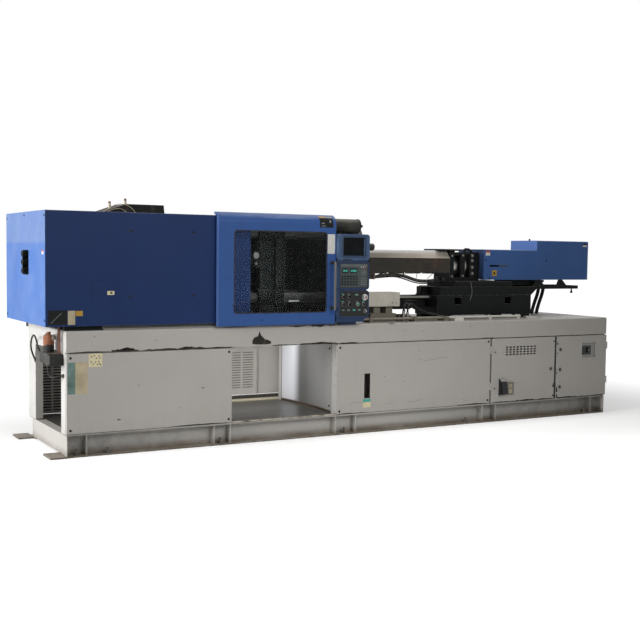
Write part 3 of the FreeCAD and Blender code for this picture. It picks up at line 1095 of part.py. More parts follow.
def control_housing():
    left, right, front, back = CONTROL_LEFT, CONTROL_RIGHT, CONTROL_FRONT, CONTROL_BACK
    modules = [(CONTROL_SWITCHES, CONTROL_KEYS - CONTROL_GROOVE),
               (CONTROL_KEYS, CONTROL_MONITOR - CONTROL_GROOVE), (CONTROL_MONITOR, CONTROL_TOP)]
    body = box(left + 10, right - 20, front + 12, back, CONTROL_SWITCHES - 10, CONTROL_TOP - 10)
    foot = box(left + 8, right - 40, front + 10, back - 20, CONTROL_FOOT, CONTROL_SWITCHES)
    stand = box(left + 60, left + 220, back - 70, back - 20, BASE_HEIGHT, CONTROL_FOOT)
    shell = join(body, foot, stand)
    for z0, z1 in modules:
        module = rounded_box_y(left, right, front, back - 60, z0, z1, CONTROL_CORNER)
        shell = join(shell, module)
    shell = shell.cut(box(SCREEN_LEFT, SCREEN_RIGHT, front - 1, front + SCREEN_RECESS,
                          SCREEN_BOTTOM, SCREEN_TOP))
    for z0, z1 in PLATE_LEVELS:
        shell = shell.cut(rounded_box_y(left + 17, right - 15, front - 1, front + PLATE_RECESS, z0, z1,
                                        PLATE_CORNER))
    for x, z in CONTROL_SPOTS.values():
        shell = shell.cut(rod_y(front, PLATE_FRONT + 2 * SHAFT_REACH, x, z, CONTROL_SHAFT_RADIUS + 2))
    return shell


def control_plate(z0, z1):
    return rounded_box_y(CONTROL_LEFT + 17, CONTROL_RIGHT - 15, PLATE_FRONT, PLATE_FRONT + PLATE_THICKNESS,
                         z0, z1, PLATE_CORNER)


save("control_housing", control_housing())
key_plate, switch_plate = [control_plate(z0, z1) for z0, z1 in PLATE_LEVELS]
for x, z in CONTROL_SPOTS.values():
    hole = rod_y(CONTROL_FRONT, CONTROL_BACK, x, z, CONTROL_SHAFT_RADIUS + RUNNING_FIT)
    switch_plate = switch_plate.cut(hole)
save("control_plates", key_plate, switch_plate)
save("monitor_screen", box(SCREEN_LEFT, SCREEN_RIGHT, CONTROL_FRONT + SCREEN_RECESS - 4,
                           CONTROL_FRONT + SCREEN_RECESS, SCREEN_BOTTOM, SCREEN_TOP))

def shaft(name, proud):
    x, z = CONTROL_SPOTS[name]
    return rod_y(PLATE_FRONT - proud, PLATE_FRONT + SHAFT_REACH, x, z, CONTROL_SHAFT_RADIUS)


def selector(name):
    """Rotary selector: a round skirt with a finger bar across it."""
    x, z = CONTROL_SPOTS[name]
    skirt = rod_y(PLATE_FRONT - 10, PLATE_FRONT - LOOSE_FIT, x, z, 14)
    bar = rounded(box(x - 5, x + 5, PLATE_FRONT - 26, PLATE_FRONT - 10, z - 15, z + 15), 3,
                  lambda e: runs_along(e, "y"))
    return join(skirt, bar, shaft(name, 5))


for selector_name in ("selector_top_left", "selector_top_right", "selector_low_left", "selector_low_right"):
    save(selector_name, selector(selector_name))


def round_control(name, head_radius, head_length, lift):
    """A turned knob or button head on its shaft, lifted off the plate by its travel."""
    x, z = CONTROL_SPOTS[name]
    head = rod_y(PLATE_FRONT - lift - head_length, PLATE_FRONT - lift, x, z, head_radius)
    head = rounded(head, 2.5, lambda e: e.BoundBox.YMax < PLATE_FRONT - lift - 1
                   and isinstance(e.Curve, Part.Circle))
    return join(head, shaft(name, lift + 2))


save("start_button", round_control("start_button", 11, 8, BUTTON_TRAVEL + 1))
save("stop_button", round_control("stop_button", 19, 14, BUTTON_TRAVEL + 3))
save("pressure_knob", round_control("pressure_knob", 13, 20, LOOSE_FIT))
save("key_switch", round_control("key_switch", 12, 12, LOOSE_FIT))


# ---------------------------------------------------------------- injection bed and deck fittings
BAR_OFFSET = 140.0
PIPE_LEVEL = 26.0            # centre of the deck pipes above the deck
GUIDE_RADIUS = 20.0
GUIDE_Z = BED_TOP - 25.0
SEAT_ROD_Z = BED_TOP - 80.0
SEAT_ROD_RADIUS = 20.0
SEAT_CYLINDER_RADIUS = 42.0
PAD_LENGTH, PAD_WIDTH = 150.0, 90.0


def without_corner(shape, left, inset):
    """The shape without its rear left corner, cut along a line moved in by about the inset."""
    back = AXIS_DEPTH + BED_HALF_WIDTH
    length, depth = [size + 1.5 * inset for size in CORNER_CUT]
    corner = [(left - 1, back - depth), (left, back - depth), (left + length, back),
              (left + length, back + 1), (left - 1, back + 1)]
    return shape.cut(prism_z(corner, BED_BOTTOM - 1, CARRIAGE_TOP + 1))


def injection_bed():
    """Hollow casting with square lifting holes, standing on four pads."""
    front, back = AXIS_DEPTH - BED_HALF_WIDTH, AXIS_DEPTH + BED_HALF_WIDTH
    body = without_corner(box(BED_LEFT, BED_RIGHT, front, back, BED_BOTTOM, BED_TOP), BED_LEFT, 0)
    hollow = box(BED_LEFT + 30, BED_RIGHT - 30, front + BED_WALL, back - BED_WALL,
                 BED_BOTTOM - 1, BED_TOP - 35)
    body = body.cut(without_corner(hollow, BED_LEFT, BED_WALL))
    for x in (BED_LEFT + 198, BED_LEFT + 800):
        body = body.cut(box(x, x + 80, front - 1, back + 1, BED_TOP - sum(BED_HOLE), BED_TOP - BED_HOLE[1]))
    near, far, last = front + 5, back - 5 - PAD_WIDTH, BED_RIGHT - 10 - PAD_LENGTH
    places = ((BED_LEFT + 10, near), (BED_LEFT + 10 + CORNER_CUT[0], far), (last, near), (last, far))
    pads = [box(x, x + PAD_LENGTH, y, y + PAD_WIDTH, BASE_HEIGHT, BED_BOTTOM) for x, y in places]
    guides = [rod_x(FIXED_PLATEN_RIGHT, BED_LEFT + 60, AXIS_DEPTH + side * BAR_OFFSET, GUIDE_Z,
                    GUIDE_RADIUS) for side in (-1, 1)]
    seat = rod_x(BED_LEFT, BED_LEFT + 560, AXIS_DEPTH, SEAT_ROD_Z, SEAT_CYLINDER_RADIUS)
    body = join(body, seat, *pads)
    body = body.cut(rod_x(BED_LEFT - 1, BED_LEFT + 540, AXIS_DEPTH, SEAT_ROD_Z,
                          SEAT_ROD_RADIUS + RUNNING_FIT))
    return join(body, *guides)


save("injection_bed", injection_bed())


def deck_fittings():
    """Junction box on its valve block, pipes along the deck and two support pads."""
    left, floor = FIXED_PLATEN_RIGHT + 117, BASE_HEIGHT
    near = BED_FRONT - 100
    junction = rounded(box(left, left + 331, near, near + 170, floor + 133, floor + 259), 6,
                       lambda e: runs_along(e, "z"))
    manifold = join(box(left + 33, left + 303, near + 20, near + 150, floor, floor + 70),
                    *[box(x, x + 70, near + 35, near + 135, floor + 70, floor + 133)
                      for x in (left + 73, left + 203)])
    valves = join(box(left + 331, left + 393, near + 15, near + 75, floor, floor + 60),
                  rod_x(left + 393, left + 458, near + 45, floor + 35, 24))
    level = floor + PIPE_LEVEL
    pipes = [rod_x(start, BED_LEFT - 12, near - offset, level, radius) for start, offset, radius in
             ((FIXED_PLATEN_RIGHT, 96, 9), (FIXED_PLATEN_RIGHT, 62, 10), (left + 333, 28, 11))]
    pipes.append(rod_x(BED_LEFT - 2, BED_LEFT + 868, near - 50, level, 10))
    along = Part.makeCompound(pipes)
    saddles = [box(x, x + 26, near - 114, near - 8, floor, level + 16).cut(along)
               for x in (FIXED_PLATEN_RIGHT + 60, FIXED_PLATEN_RIGHT + 530, BED_LEFT - 72)]
    saddles += [box(x, x + 20, near - 68, near - 32, floor, level + 15).cut(along)
                for x in (BED_LEFT + 88, BED_LEFT + 488, BED_LEFT + 828)]
    pads = [box(BED_LEFT - 27, BED_LEFT + 122, near - 148, near - 116, floor, floor + 26),
            box(BED_RIGHT - 158, BED_RIGHT - 10, near - 32, near + 24, floor, floor + 20)]
    return [junction, manifold, valves] + pipes + saddles + pads


save("deck_fittings", *deck_fittings())


# ---------------------------------------------------------------- carriage
ARM_HALF_WIDTH = 180.0
ARM_SHEET = 8.0


def carriage():
    front, back = AXIS_DEPTH - BED_HALF_WIDTH, AXIS_DEPTH + BED_HALF_WIDTH
    base = BED_TOP + LOOSE_FIT
    deck = prism_y([(BED_LEFT + 40, base), (BED_RIGHT + 6, base), (CARRIAGE_RIGHT, ARM_BOTTOM),
                    (CARRIAGE_RIGHT, CARRIAGE_TOP), (BED_LEFT + 40, CARRIAGE_TOP)], front, back)
    deck = without_corner(deck, BED_LEFT + 40, 0)
    extension = box(EXTENSION_LEFT, BED_LEFT + 40, AXIS_DEPTH - 32, AXIS_DEPTH + 32,
                    base + 14, CARRIAGE_TOP)
    saddle = box(SADDLE_LEFT, SADDLE_RIGHT, front + 30, back - 30, CARRIAGE_TOP, SADDLE_TOP)
    saddle = rounded(saddle, 12, lambda e: runs_along(e, "x") and e.BoundBox.ZMin > SADDLE_TOP - 1)
    lug = box(EXTENSION_LEFT, EXTENSION_LEFT + 30, AXIS_DEPTH - 32, AXIS_DEPTH + 32,
              SEAT_ROD_Z - 32, base + 20)
    seat_rod = rod_x(EXTENSION_LEFT + 30, BED_LEFT + 300, AXIS_DEPTH, SEAT_ROD_Z, SEAT_ROD_RADIUS)
    arm = box(CARRIAGE_RIGHT, ARM_RIGHT, AXIS_DEPTH - ARM_HALF_WIDTH, AXIS_DEPTH + ARM_HALF_WIDTH,
              ARM_BOTTOM, ARM_TOP)
    inner_front, inner_back = AXIS_DEPTH - ARM_HALF_WIDTH + 6, AXIS_DEPTH + ARM_HALF_WIDTH - 6
    arm = arm.cut(box(CARRIAGE_RIGHT, ARM_RIGHT - 6, inner_front, inner_back,
                      ARM_BOTTOM + ARM_SHEET, ARM_TOP + 1))
    brackets = []
    floor = ARM_BOTTOM + ARM_SHEET
    for x in (CARRIAGE_RIGHT + 24, CARRIAGE_RIGHT + 324):
        profile = [(x, floor), (x + 150, floor), (x + 150, ARM_TOP), (x + 90, COVER_BOTTOM),
                   (x + 40, COVER_BOTTOM)]
        brackets += [prism_y(profile, y, y + 8) for y in (inner_front, AXIS_DEPTH + ARM_HALF_WIDTH - 14)]
    knob_x, knob_y = ARM_RIGHT - 70, AXIS_DEPTH - ARM_HALF_WIDTH + 20
    knob = join(rod_z(ARM_BOTTOM - 36, ARM_BOTTOM, knob_x, knob_y, 7),
                rod_z(ARM_BOTTOM - 44, ARM_BOTTOM - 22, knob_x, knob_y, 12))
    return join(deck, extension, saddle, lug, seat_rod, arm, knob, *brackets)


save("carriage", carriage())


def feed_housing():
    """Casting round the barrel's rear end: flange, rib, rear block and the two shot cylinders."""
    y0, y1 = AXIS_DEPTH - GUARD_HALF_WIDTH, AXIS_DEPTH + GUARD_HALF_WIDTH
    low = SADDLE_TOP
    foot = box(GUARD_RIGHT, FEED_RIGHT, y0, y1, low, low + 30)
    flange = box(GUARD_RIGHT, GUARD_RIGHT + 46, y0, y1, low, FEED_TOP)
    rib = box(GUARD_RIGHT + 124, GUARD_RIGHT + 178, y0, y1, low, FEED_TOP)
    block = box(BARREL_RIGHT, FEED_RIGHT, y0, y1, low, FEED_TOP)
    block = rounded(block, 14, lambda e: runs_along(e, "z") and e.BoundBox.XMax < BARREL_RIGHT + 1)
    boss = rod_x(GUARD_RIGHT, BARREL_RIGHT, AXIS_DEPTH, AXIS_HEIGHT, BARREL_RADIUS + 37)
    neck = box(THROAT_CENTRE - 44, THROAT_CENTRE + 44, AXIS_DEPTH - 60, AXIS_DEPTH + 60, AXIS_HEIGHT,
               HOPPER_PLATE_BOTTOM)
    web_end = BARREL_RIGHT + 20
    webs = [prism_y([(GUARD_RIGHT, FEED_TOP - 36), (web_end, FEED_TOP - 14), (web_end, FEED_TOP - 2),
                     (GUARD_RIGHT, FEED_TOP - 2)], y, y + 14)
            for y in (y0, y1 - 14)]
    x, z = BARREL_RIGHT, FEED_TOP
    eye = prism_y([(x - 74, z - 4), (x - 68, z + 28), (x - 48, z + 40), (x - 10, z + 38), (x + 22, z + 16),
                   (x + 36, z - 4), (x + 12, z - 4), (x, z + 10), (x - 28, z + 22), (x - 46, z + 16),
                   (x - 50, z - 4)], y0, y0 + 16)
    cylinders = [rod_x(FEED_RIGHT, DRIVE_LEFT - 30, AXIS_DEPTH + side * ROD_OFFSET, AXIS_HEIGHT,
                       SHOT_CYLINDER_RADIUS) for side in (-1, 1)]
    body = join(foot, flange, rib, block, boss, neck, eye, *(webs + cylinders))
    body = body.cut(rod_x(GUARD_RIGHT - 1, BARREL_RIGHT, AXIS_DEPTH, AXIS_HEIGHT,
                          BARREL_RADIUS + LOOSE_FIT))
    body = body.cut(rod_x(BARREL_RIGHT - 10, FEED_RIGHT + 1, AXIS_DEPTH, AXIS_HEIGHT,
                          SCREW_RADIUS + LOOSE_FIT))
    for side in (-1, 1):
        body = body.cut(rod_x(BARREL_RIGHT + 20, DRIVE_LEFT, AXIS_DEPTH + side * ROD_OFFSET, AXIS_HEIGHT,
                              ROD_RADIUS + RUNNING_FIT))
    body = body.cut(rod_z(AXIS_HEIGHT, HOPPER_PLATE_BOTTOM + 1, THROAT_CENTRE, AXIS_DEPTH, THROAT_RADIUS))
    return body


def hopper_plate():
    """Slide plate for the hopper with its throat hole and four bolt holes."""
    plate = box(HOPPER_PLATE_LEFT, HOPPER_PLATE_RIGHT, AXIS_DEPTH - GUARD_HALF_WIDTH,
                AXIS_DEPTH + GUARD_HALF_WIDTH, HOPPER_PLATE_BOTTOM, HOPPER_PLATE_TOP)
    top = HOPPER_PLATE_TOP + 1
    plate = plate.cut(rod_z(HOPPER_PLATE_BOTTOM - 1, top, THROAT_CENTRE, AXIS_DEPTH, THROAT_RADIUS))
    reach = HOPPER_BOLT_SPACING / 2
    for dx in (-reach, reach):
        for dy in (-reach, reach):
            plate = plate.cut(rod_z(HOPPER_PLATE_BOTTOM - 1, top, THROAT_CENTRE + dx, AXIS_DEPTH + dy,
                                    HOPPER_BOLT_RADIUS))
    return plate


TERMINAL_LEFT = GUARD_RIGHT - 144.0
CONDUIT_Y = AXIS_DEPTH - 110.0
terminal_block = box(TERMINAL_LEFT, GUARD_RIGHT, CONDUIT_Y - 16, CONDUIT_Y + 20,
                     SADDLE_TOP, GUARD_BOTTOM - 3)
save("feed_housing", feed_housing(), hopper_plate(), terminal_block)


def turned(profile):
    """Turn an (x, radius) outline about the machine's long axis."""
    points = [V(x, AXIS_DEPTH, AXIS_HEIGHT + r) for x, r in profile]
    outline = Part.Face(Part.makePolygon(points + points[:1]))
    return outline.revolve(V(0, AXIS_DEPTH, AXIS_HEIGHT), V(1, 0, 0), 360)


BORE = SCREW_RADIUS + RUNNING_FIT
CONDUIT_START = BARREL_LEFT + 66.0
HEATER_LENGTH, HEATER_PITCH = 140.0, 190.0
HEATERS = [GUARD_LEFT + 115 + HEATER_PITCH * i for i in range(4)]
barrel_profile = [(NOZZLE_TIP, 4), (NOZZLE_TIP, 16), (NOZZLE_TIP + 16, 22), (NOZZLE_TIP + 80, 24),
                  (NOZZLE_TIP + 96, 42), (BARREL_LEFT, 42), (BARREL_LEFT, BARREL_RADIUS)]
for start in HEATERS:
    end = start + HEATER_LENGTH
    barrel_profile += [(start, BARREL_RADIUS), (start, BAND_RADIUS),
                       (end, BAND_RADIUS), (end, BARREL_RADIUS)]
barrel_profile += [(BARREL_RIGHT, BARREL_RADIUS), (BARREL_RIGHT, BORE), (BARREL_LEFT + 6, BORE),
                   (BARREL_LEFT - 16, 4)]
barrel = turned(barrel_profile)
throat = rod_z(AXIS_HEIGHT, AXIS_HEIGHT + 2 * BARREL_RADIUS, THROAT_CENTRE, AXIS_DEPTH,
               THROAT_RADIUS + THROAT_MISMATCH)
strap = box(CONDUIT_START - 6, CONDUIT_START, AXIS_DEPTH - 130, AXIS_DEPTH + 70,
            AXIS_HEIGHT - 122, AXIS_HEIGHT + 70)
strap = strap.cut(rod_x(CONDUIT_START - 7, CONDUIT_START + 1, AXIS_DEPTH, AXIS_HEIGHT, BARREL_RADIUS))
strap = strap.cut(box(CONDUIT_START - 7, CONDUIT_START + 1, AXIS_DEPTH - 160, AXIS_DEPTH - 62,
                      AXIS_HEIGHT - 68, AXIS_HEIGHT + 160))
save("barrel", barrel.cut(throat), strap)

SCREW_TIP = BARREL_LEFT + 12
SCREW_SHOULDER = FEED_RIGHT + 47
SHANK_RADIUS = 18.0
SHANK_DEPTH = 50.0
save("screw", turned([(SCREW_TIP, 0), (SCREW_TIP + 34, SCREW_RADIUS), (SCREW_SHOULDER, SCREW_RADIUS),
                      (SCREW_SHOULDER, SHANK_RADIUS), (DRIVE_LEFT + SHANK_DEPTH, SHANK_RADIUS),
                      (DRIVE_LEFT + SHANK_DEPTH, 0)]))


def guard_outline(inset):
    side, shoulder = GUARD_HALF_WIDTH - inset, GUARD_TOP_HALF_WIDTH - inset * 0.5
    top = GUARD_TOP - inset
    bend = GUARD_SHOULDER - inset * 0.4
    return [(AXIS_DEPTH - side, GUARD_BOTTOM), (AXIS_DEPTH - side, bend), (AXIS_DEPTH - shoulder, top),
            (AXIS_DEPTH + shoulder, top), (AXIS_DEPTH + side, bend), (AXIS_DEPTH + side, GUARD_BOTTOM)]


barrel_guard = prism_x(guard_outline(0), GUARD_LEFT, GUARD_RIGHT)
barrel_guard = barrel_guard.cut(prism_x(guard_outline(GUARD_SHEET), GUARD_LEFT - 1, GUARD_RIGHT + 1))
guard_ribs = []
for x in (GUARD_LEFT + 280, GUARD_RIGHT - 243):
    guard_rib = prism_x(guard_outline(GUARD_SHEET / 2), x, x + 5)
    guard_ribs.append(guard_rib.cut(rod_x(x - 1, x + 6, AXIS_DEPTH, AXIS_HEIGHT,
                                          BARREL_RADIUS + LOOSE_FIT)))
clips = []
for x, z in ((GUARD_LEFT + 217, AXIS_HEIGHT - 78), (GUARD_LEFT + 365, AXIS_HEIGHT - 86)):
    clip = box(x, x + 16, AXIS_DEPTH - GUARD_HALF_WIDTH + GUARD_SHEET, CONDUIT_Y + 20, z - 18, z + 46)
    clips.append(clip.cut(box(x - 1, x + 17, CONDUIT_Y - CONDUIT_RADIUS - 1, CONDUIT_Y + 21,
                              z - 19, z + CONDUIT_RADIUS + 1)))
save("barrel_guard", join(barrel_guard, *(guard_ribs + clips)))


def injection_cover():
    """Low front part and tall rear part in one skin, open underneath."""
    def body(inset):
        y0, y1 = AXIS_DEPTH - COVER_HALF_WIDTH + inset, AXIS_DEPTH + COVER_HALF_WIDTH - inset
        low = box(COVER_LEFT + inset, COVER_RIGHT - inset, y0, y1, COVER_BOTTOM, COVER_LOW_TOP - inset)
        tall = box(COVER_STEP + inset, COVER_RIGHT - inset, y0, y1, COVER_BOTTOM, COVER_TOP - inset)
        shape = join(low, tall)
        corner = COVER_CORNER - inset
        shape = rounded(shape, corner, lambda e: runs_along(e, "z") and e.BoundBox.XMin > COVER_RIGHT - 20)
        return rounded(shape, max(10 - inset, 4), lambda e: runs_along(e, "x")
                       and e.BoundBox.ZMin > COVER_LOW_TOP - inset - 1)
    shell = body(0).cut(body(COVER_SHEET))
    half = AXIS_DEPTH - COVER_HALF_WIDTH + COVER_SHEET
    for y in (half, 2 * AXIS_DEPTH - half - COVER_LIP):
        lip = box(COVER_LEFT + 20, COVER_RIGHT - COVER_CORNER, y, y + COVER_LIP, COVER_BOTTOM,
                  COVER_BOTTOM + COVER_SHEET)
        shell = join(shell, lip)
    mouth = GUARD_HALF_WIDTH + 2
    shell = shell.cut(box(COVER_LEFT - 1, COVER_LEFT + 10, AXIS_DEPTH - mouth, AXIS_DEPTH + mouth,
                          COVER_BOTTOM - 1, FEED_TOP - 20))
    scale = box(COVER_LEFT + 73, COVER_LEFT + 307, AXIS_DEPTH - COVER_HALF_WIDTH - 1,
                AXIS_DEPTH - COVER_HALF_WIDTH + 5, AXIS_HEIGHT, AXIS_HEIGHT + 17)
    return shell.cut(scale)


save("injection_cover", injection_cover())


def drive_unit():
    """Drive plate on the two shot rods, with the hydraulic motor behind it."""
    right = DRIVE_LEFT + DRIVE_THICKNESS
    plate = box(DRIVE_LEFT, right, AXIS_DEPTH - COVER_HALF_WIDTH + 20, AXIS_DEPTH + COVER_HALF_WIDTH - 20,
                AXIS_HEIGHT - 110, AXIS_HEIGHT + 115)
    plate = rounded(plate, 20, lambda e: runs_along(e, "x"))
    rods = [rod_x(BARREL_RIGHT + 50, DRIVE_LEFT, AXIS_DEPTH + side * ROD_OFFSET, AXIS_HEIGHT, ROD_RADIUS)
            for side in (-1, 1)]
    motor = join(rod_x(right, right + 230, AXIS_DEPTH, AXIS_HEIGHT, 86),
                 rod_x(right + 230, right + 300, AXIS_DEPTH, AXIS_HEIGHT, 60))
    ports = box(right + 60, right + 160, AXIS_DEPTH - 50, AXIS_DEPTH + 50,
                AXIS_HEIGHT + 70, AXIS_HEIGHT + 140)
    body = join(plate, motor, ports, *rods)
    return body.cut(rod_x(DRIVE_LEFT - 1, DRIVE_LEFT + SHANK_DEPTH + LOOSE_FIT, AXIS_DEPTH, AXIS_HEIGHT,
                          SHANK_RADIUS + RUNNING_FIT))


save("drive_unit", drive_unit())

# ---------------------------------------------------------------- cords
def between(tube, low, high):
    """The tube's part inside the box from low to high, so that its ends lie flat on what they meet."""
    corners = zip(low, high)
    (x0, x1), (y0, y1), (z0, z1) = corners
    return tube.common(box(x0, x1, y0, y1, z0, z1))


axis_z = AXIS_HEIGHT
CONDUIT_POINTS = [(CONDUIT_START - 2, CONDUIT_Y + 2, axis_z - 100),
                  (CONDUIT_START + 164, CONDUIT_Y, axis_z - 78),
                  (CONDUIT_START + 324, CONDUIT_Y, axis_z - 88),
                  (CONDUIT_START + 474, CONDUIT_Y, axis_z - 136),
                  (CONDUIT_START + 594, CONDUIT_Y, axis_z - 140),
                  (TERMINAL_LEFT + 2, CONDUIT_Y, axis_z - 129)]
conduit = bent_tube(CONDUIT_POINTS, CONDUIT_RADIUS, "conduit")
save("barrel_conduit", between(conduit, (CONDUIT_START, 0, 0), (TERMINAL_LEFT, BASE_DEPTH, HOOD_TOP)))

HOSE_POINTS = [(0, 0, ARM_BOTTOM + 2), (-4, 12, ARM_BOTTOM - 72), (-16, 52, BASE_HEIGHT + 100),
               (-26, 72, BASE_HEIGHT - 2)]
HOSE_STARTS = ((ARM_RIGHT - 250, AXIS_DEPTH + 130), (ARM_RIGHT - 178, AXIS_DEPTH + 140))
hoses = [bent_tube([(x + dx, y + dy, z) for dx, dy, z in HOSE_POINTS], HOSE_RADIUS, "hose")
         for x, y in HOSE_STARTS]
save("carriage_hoses", *[between(hose, (0, 0, BASE_HEIGHT), (COVER_RIGHT, BASE_DEPTH, ARM_BOTTOM))
                         for hose in hoses])

cable_z = VALVE_BOTTOM
CABLE_POINTS = [(-68, OUTLET_BOX_BACK - 2, cable_z + 46), (-72, 500, cable_z + 70),
                (-66, 620, cable_z + 182), (-58, 740, cable_z + 182), (-48, 850, cable_z + 90),
                (-22, CABLE_ENTRY[0] - 10, cable_z + 10),
                (6, CABLE_ENTRY[0] + 1, CABLE_ENTRY[1] - 2)]
cable = bent_tube(CABLE_POINTS, CABLE_RADIUS, "cable")
save("end_cable", between(cable, (HOOD_LEFT, OUTLET_BOX_BACK, 0), (POST_SIZE, BASE_DEPTH, HOOD_TOP)))
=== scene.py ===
import math
import bmesh
import bpy
from mathutils import Matrix, Vector


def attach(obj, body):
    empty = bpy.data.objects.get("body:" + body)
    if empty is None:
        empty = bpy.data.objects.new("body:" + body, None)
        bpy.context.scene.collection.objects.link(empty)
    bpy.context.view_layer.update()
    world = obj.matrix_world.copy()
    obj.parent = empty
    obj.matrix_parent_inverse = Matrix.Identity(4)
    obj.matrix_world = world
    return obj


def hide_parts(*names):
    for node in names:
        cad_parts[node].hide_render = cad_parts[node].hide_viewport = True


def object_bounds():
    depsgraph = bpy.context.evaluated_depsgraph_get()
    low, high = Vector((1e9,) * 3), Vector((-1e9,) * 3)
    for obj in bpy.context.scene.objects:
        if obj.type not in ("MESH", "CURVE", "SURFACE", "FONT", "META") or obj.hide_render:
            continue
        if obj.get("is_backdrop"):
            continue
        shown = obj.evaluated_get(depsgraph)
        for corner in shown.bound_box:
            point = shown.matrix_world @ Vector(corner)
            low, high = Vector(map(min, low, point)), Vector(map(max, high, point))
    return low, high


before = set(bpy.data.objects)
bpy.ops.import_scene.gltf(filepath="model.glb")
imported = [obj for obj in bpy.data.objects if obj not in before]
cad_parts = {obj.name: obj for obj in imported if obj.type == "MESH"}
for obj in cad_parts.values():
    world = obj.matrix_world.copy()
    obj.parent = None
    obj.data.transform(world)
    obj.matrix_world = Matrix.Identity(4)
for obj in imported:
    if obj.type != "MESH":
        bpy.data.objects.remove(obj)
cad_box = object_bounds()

scene = bpy.context.scene
scene.view_settings.view_transform = "Standard"

# Places are millimetres from the base's front left corner on the floor: x along the machine, y towards
# its back, z up. Limits inside the materials are metres in the frame, with its origin at ORIGIN.
ORIGIN = Vector((2669.5, 595.0, 0.0))
RIM_FACE = 0.0               # fronts of the deck's rim and of the hood
PANEL_FACE = 4.0             # fronts of the base's panels and of the cabinet doors
DOOR_FACE = -60.0            # front of the sliding guard door
HOUSING_FACE = -100.0        # front of the operator panel's housing
PLATE_FACE = -97.0           # fronts of the plates let into it
COVER_FACE = 360.0           # front of the injection cover
FEED_FACE = 430.0            # front of the feed housing
HOOD_END = -154.0            # left end of the hood
RIM_LOW, RIM_TOP = 787.0, 946.0          # edges of the deck's rim
PANEL_FOOT = 180.0           # lower edge of the base's panels and doors
WALL_FACE = 124.0            # where the bay's curved wall takes its screws
BOX_FACE = 152.0             # front of the junction box
LOUVRE_FACE = 1095.4         # in the sheet of the rear panels, behind their slots
AXIS_Y, AXIS_Z = 560.0, 1440.0           # axis of the barrel
X, Y, Z = Vector((1, 0, 0)), Vector((0, 1, 0)), Vector((0, 0, 1))
FRONT, LEFT, RIGHT, TOP = (X, Z), (-Y, Z), (Y, Z), (X, Y)     # two directions along each kind of face


def at(x, y, z):
    """A point of the machine, in the frame's metres."""
    return (Vector((x, y, z)) - ORIGIN) / 1000


# ---------------------------------------------------------------- camera, fitted to the photograph
YAW, PITCH, ROLL = math.radians(29.692), math.radians(3.605), math.radians(0.742)
camera = bpy.data.objects.new("camera", bpy.data.cameras.new("camera"))
scene.collection.objects.link(camera)
scene.camera = camera
camera.data.sensor_width = 36.0
camera.data.lens = 58.97
camera.data.clip_end = 200.0
forward = Vector((math.sin(YAW) * math.cos(PITCH), math.cos(YAW) * math.cos(PITCH), -math.sin(PITCH)))
level = Vector((math.cos(YAW), -math.sin(YAW), 0))
upward = level.cross(forward)
right = level * math.cos(ROLL) + upward * math.sin(ROLL)
upright = upward * math.cos(ROLL) - level * math.sin(ROLL)
camera.matrix_world = Matrix.Translation(at(-2190.4, -7611.2, 1542.0)) @ Matrix(
    (right, upright, -forward)).transposed().to_4x4()


# ---------------------------------------------------------------- materials
def shade(colour, share):
    """The colour, darker or lighter by a factor."""
    return tuple(c * share for c in colour)


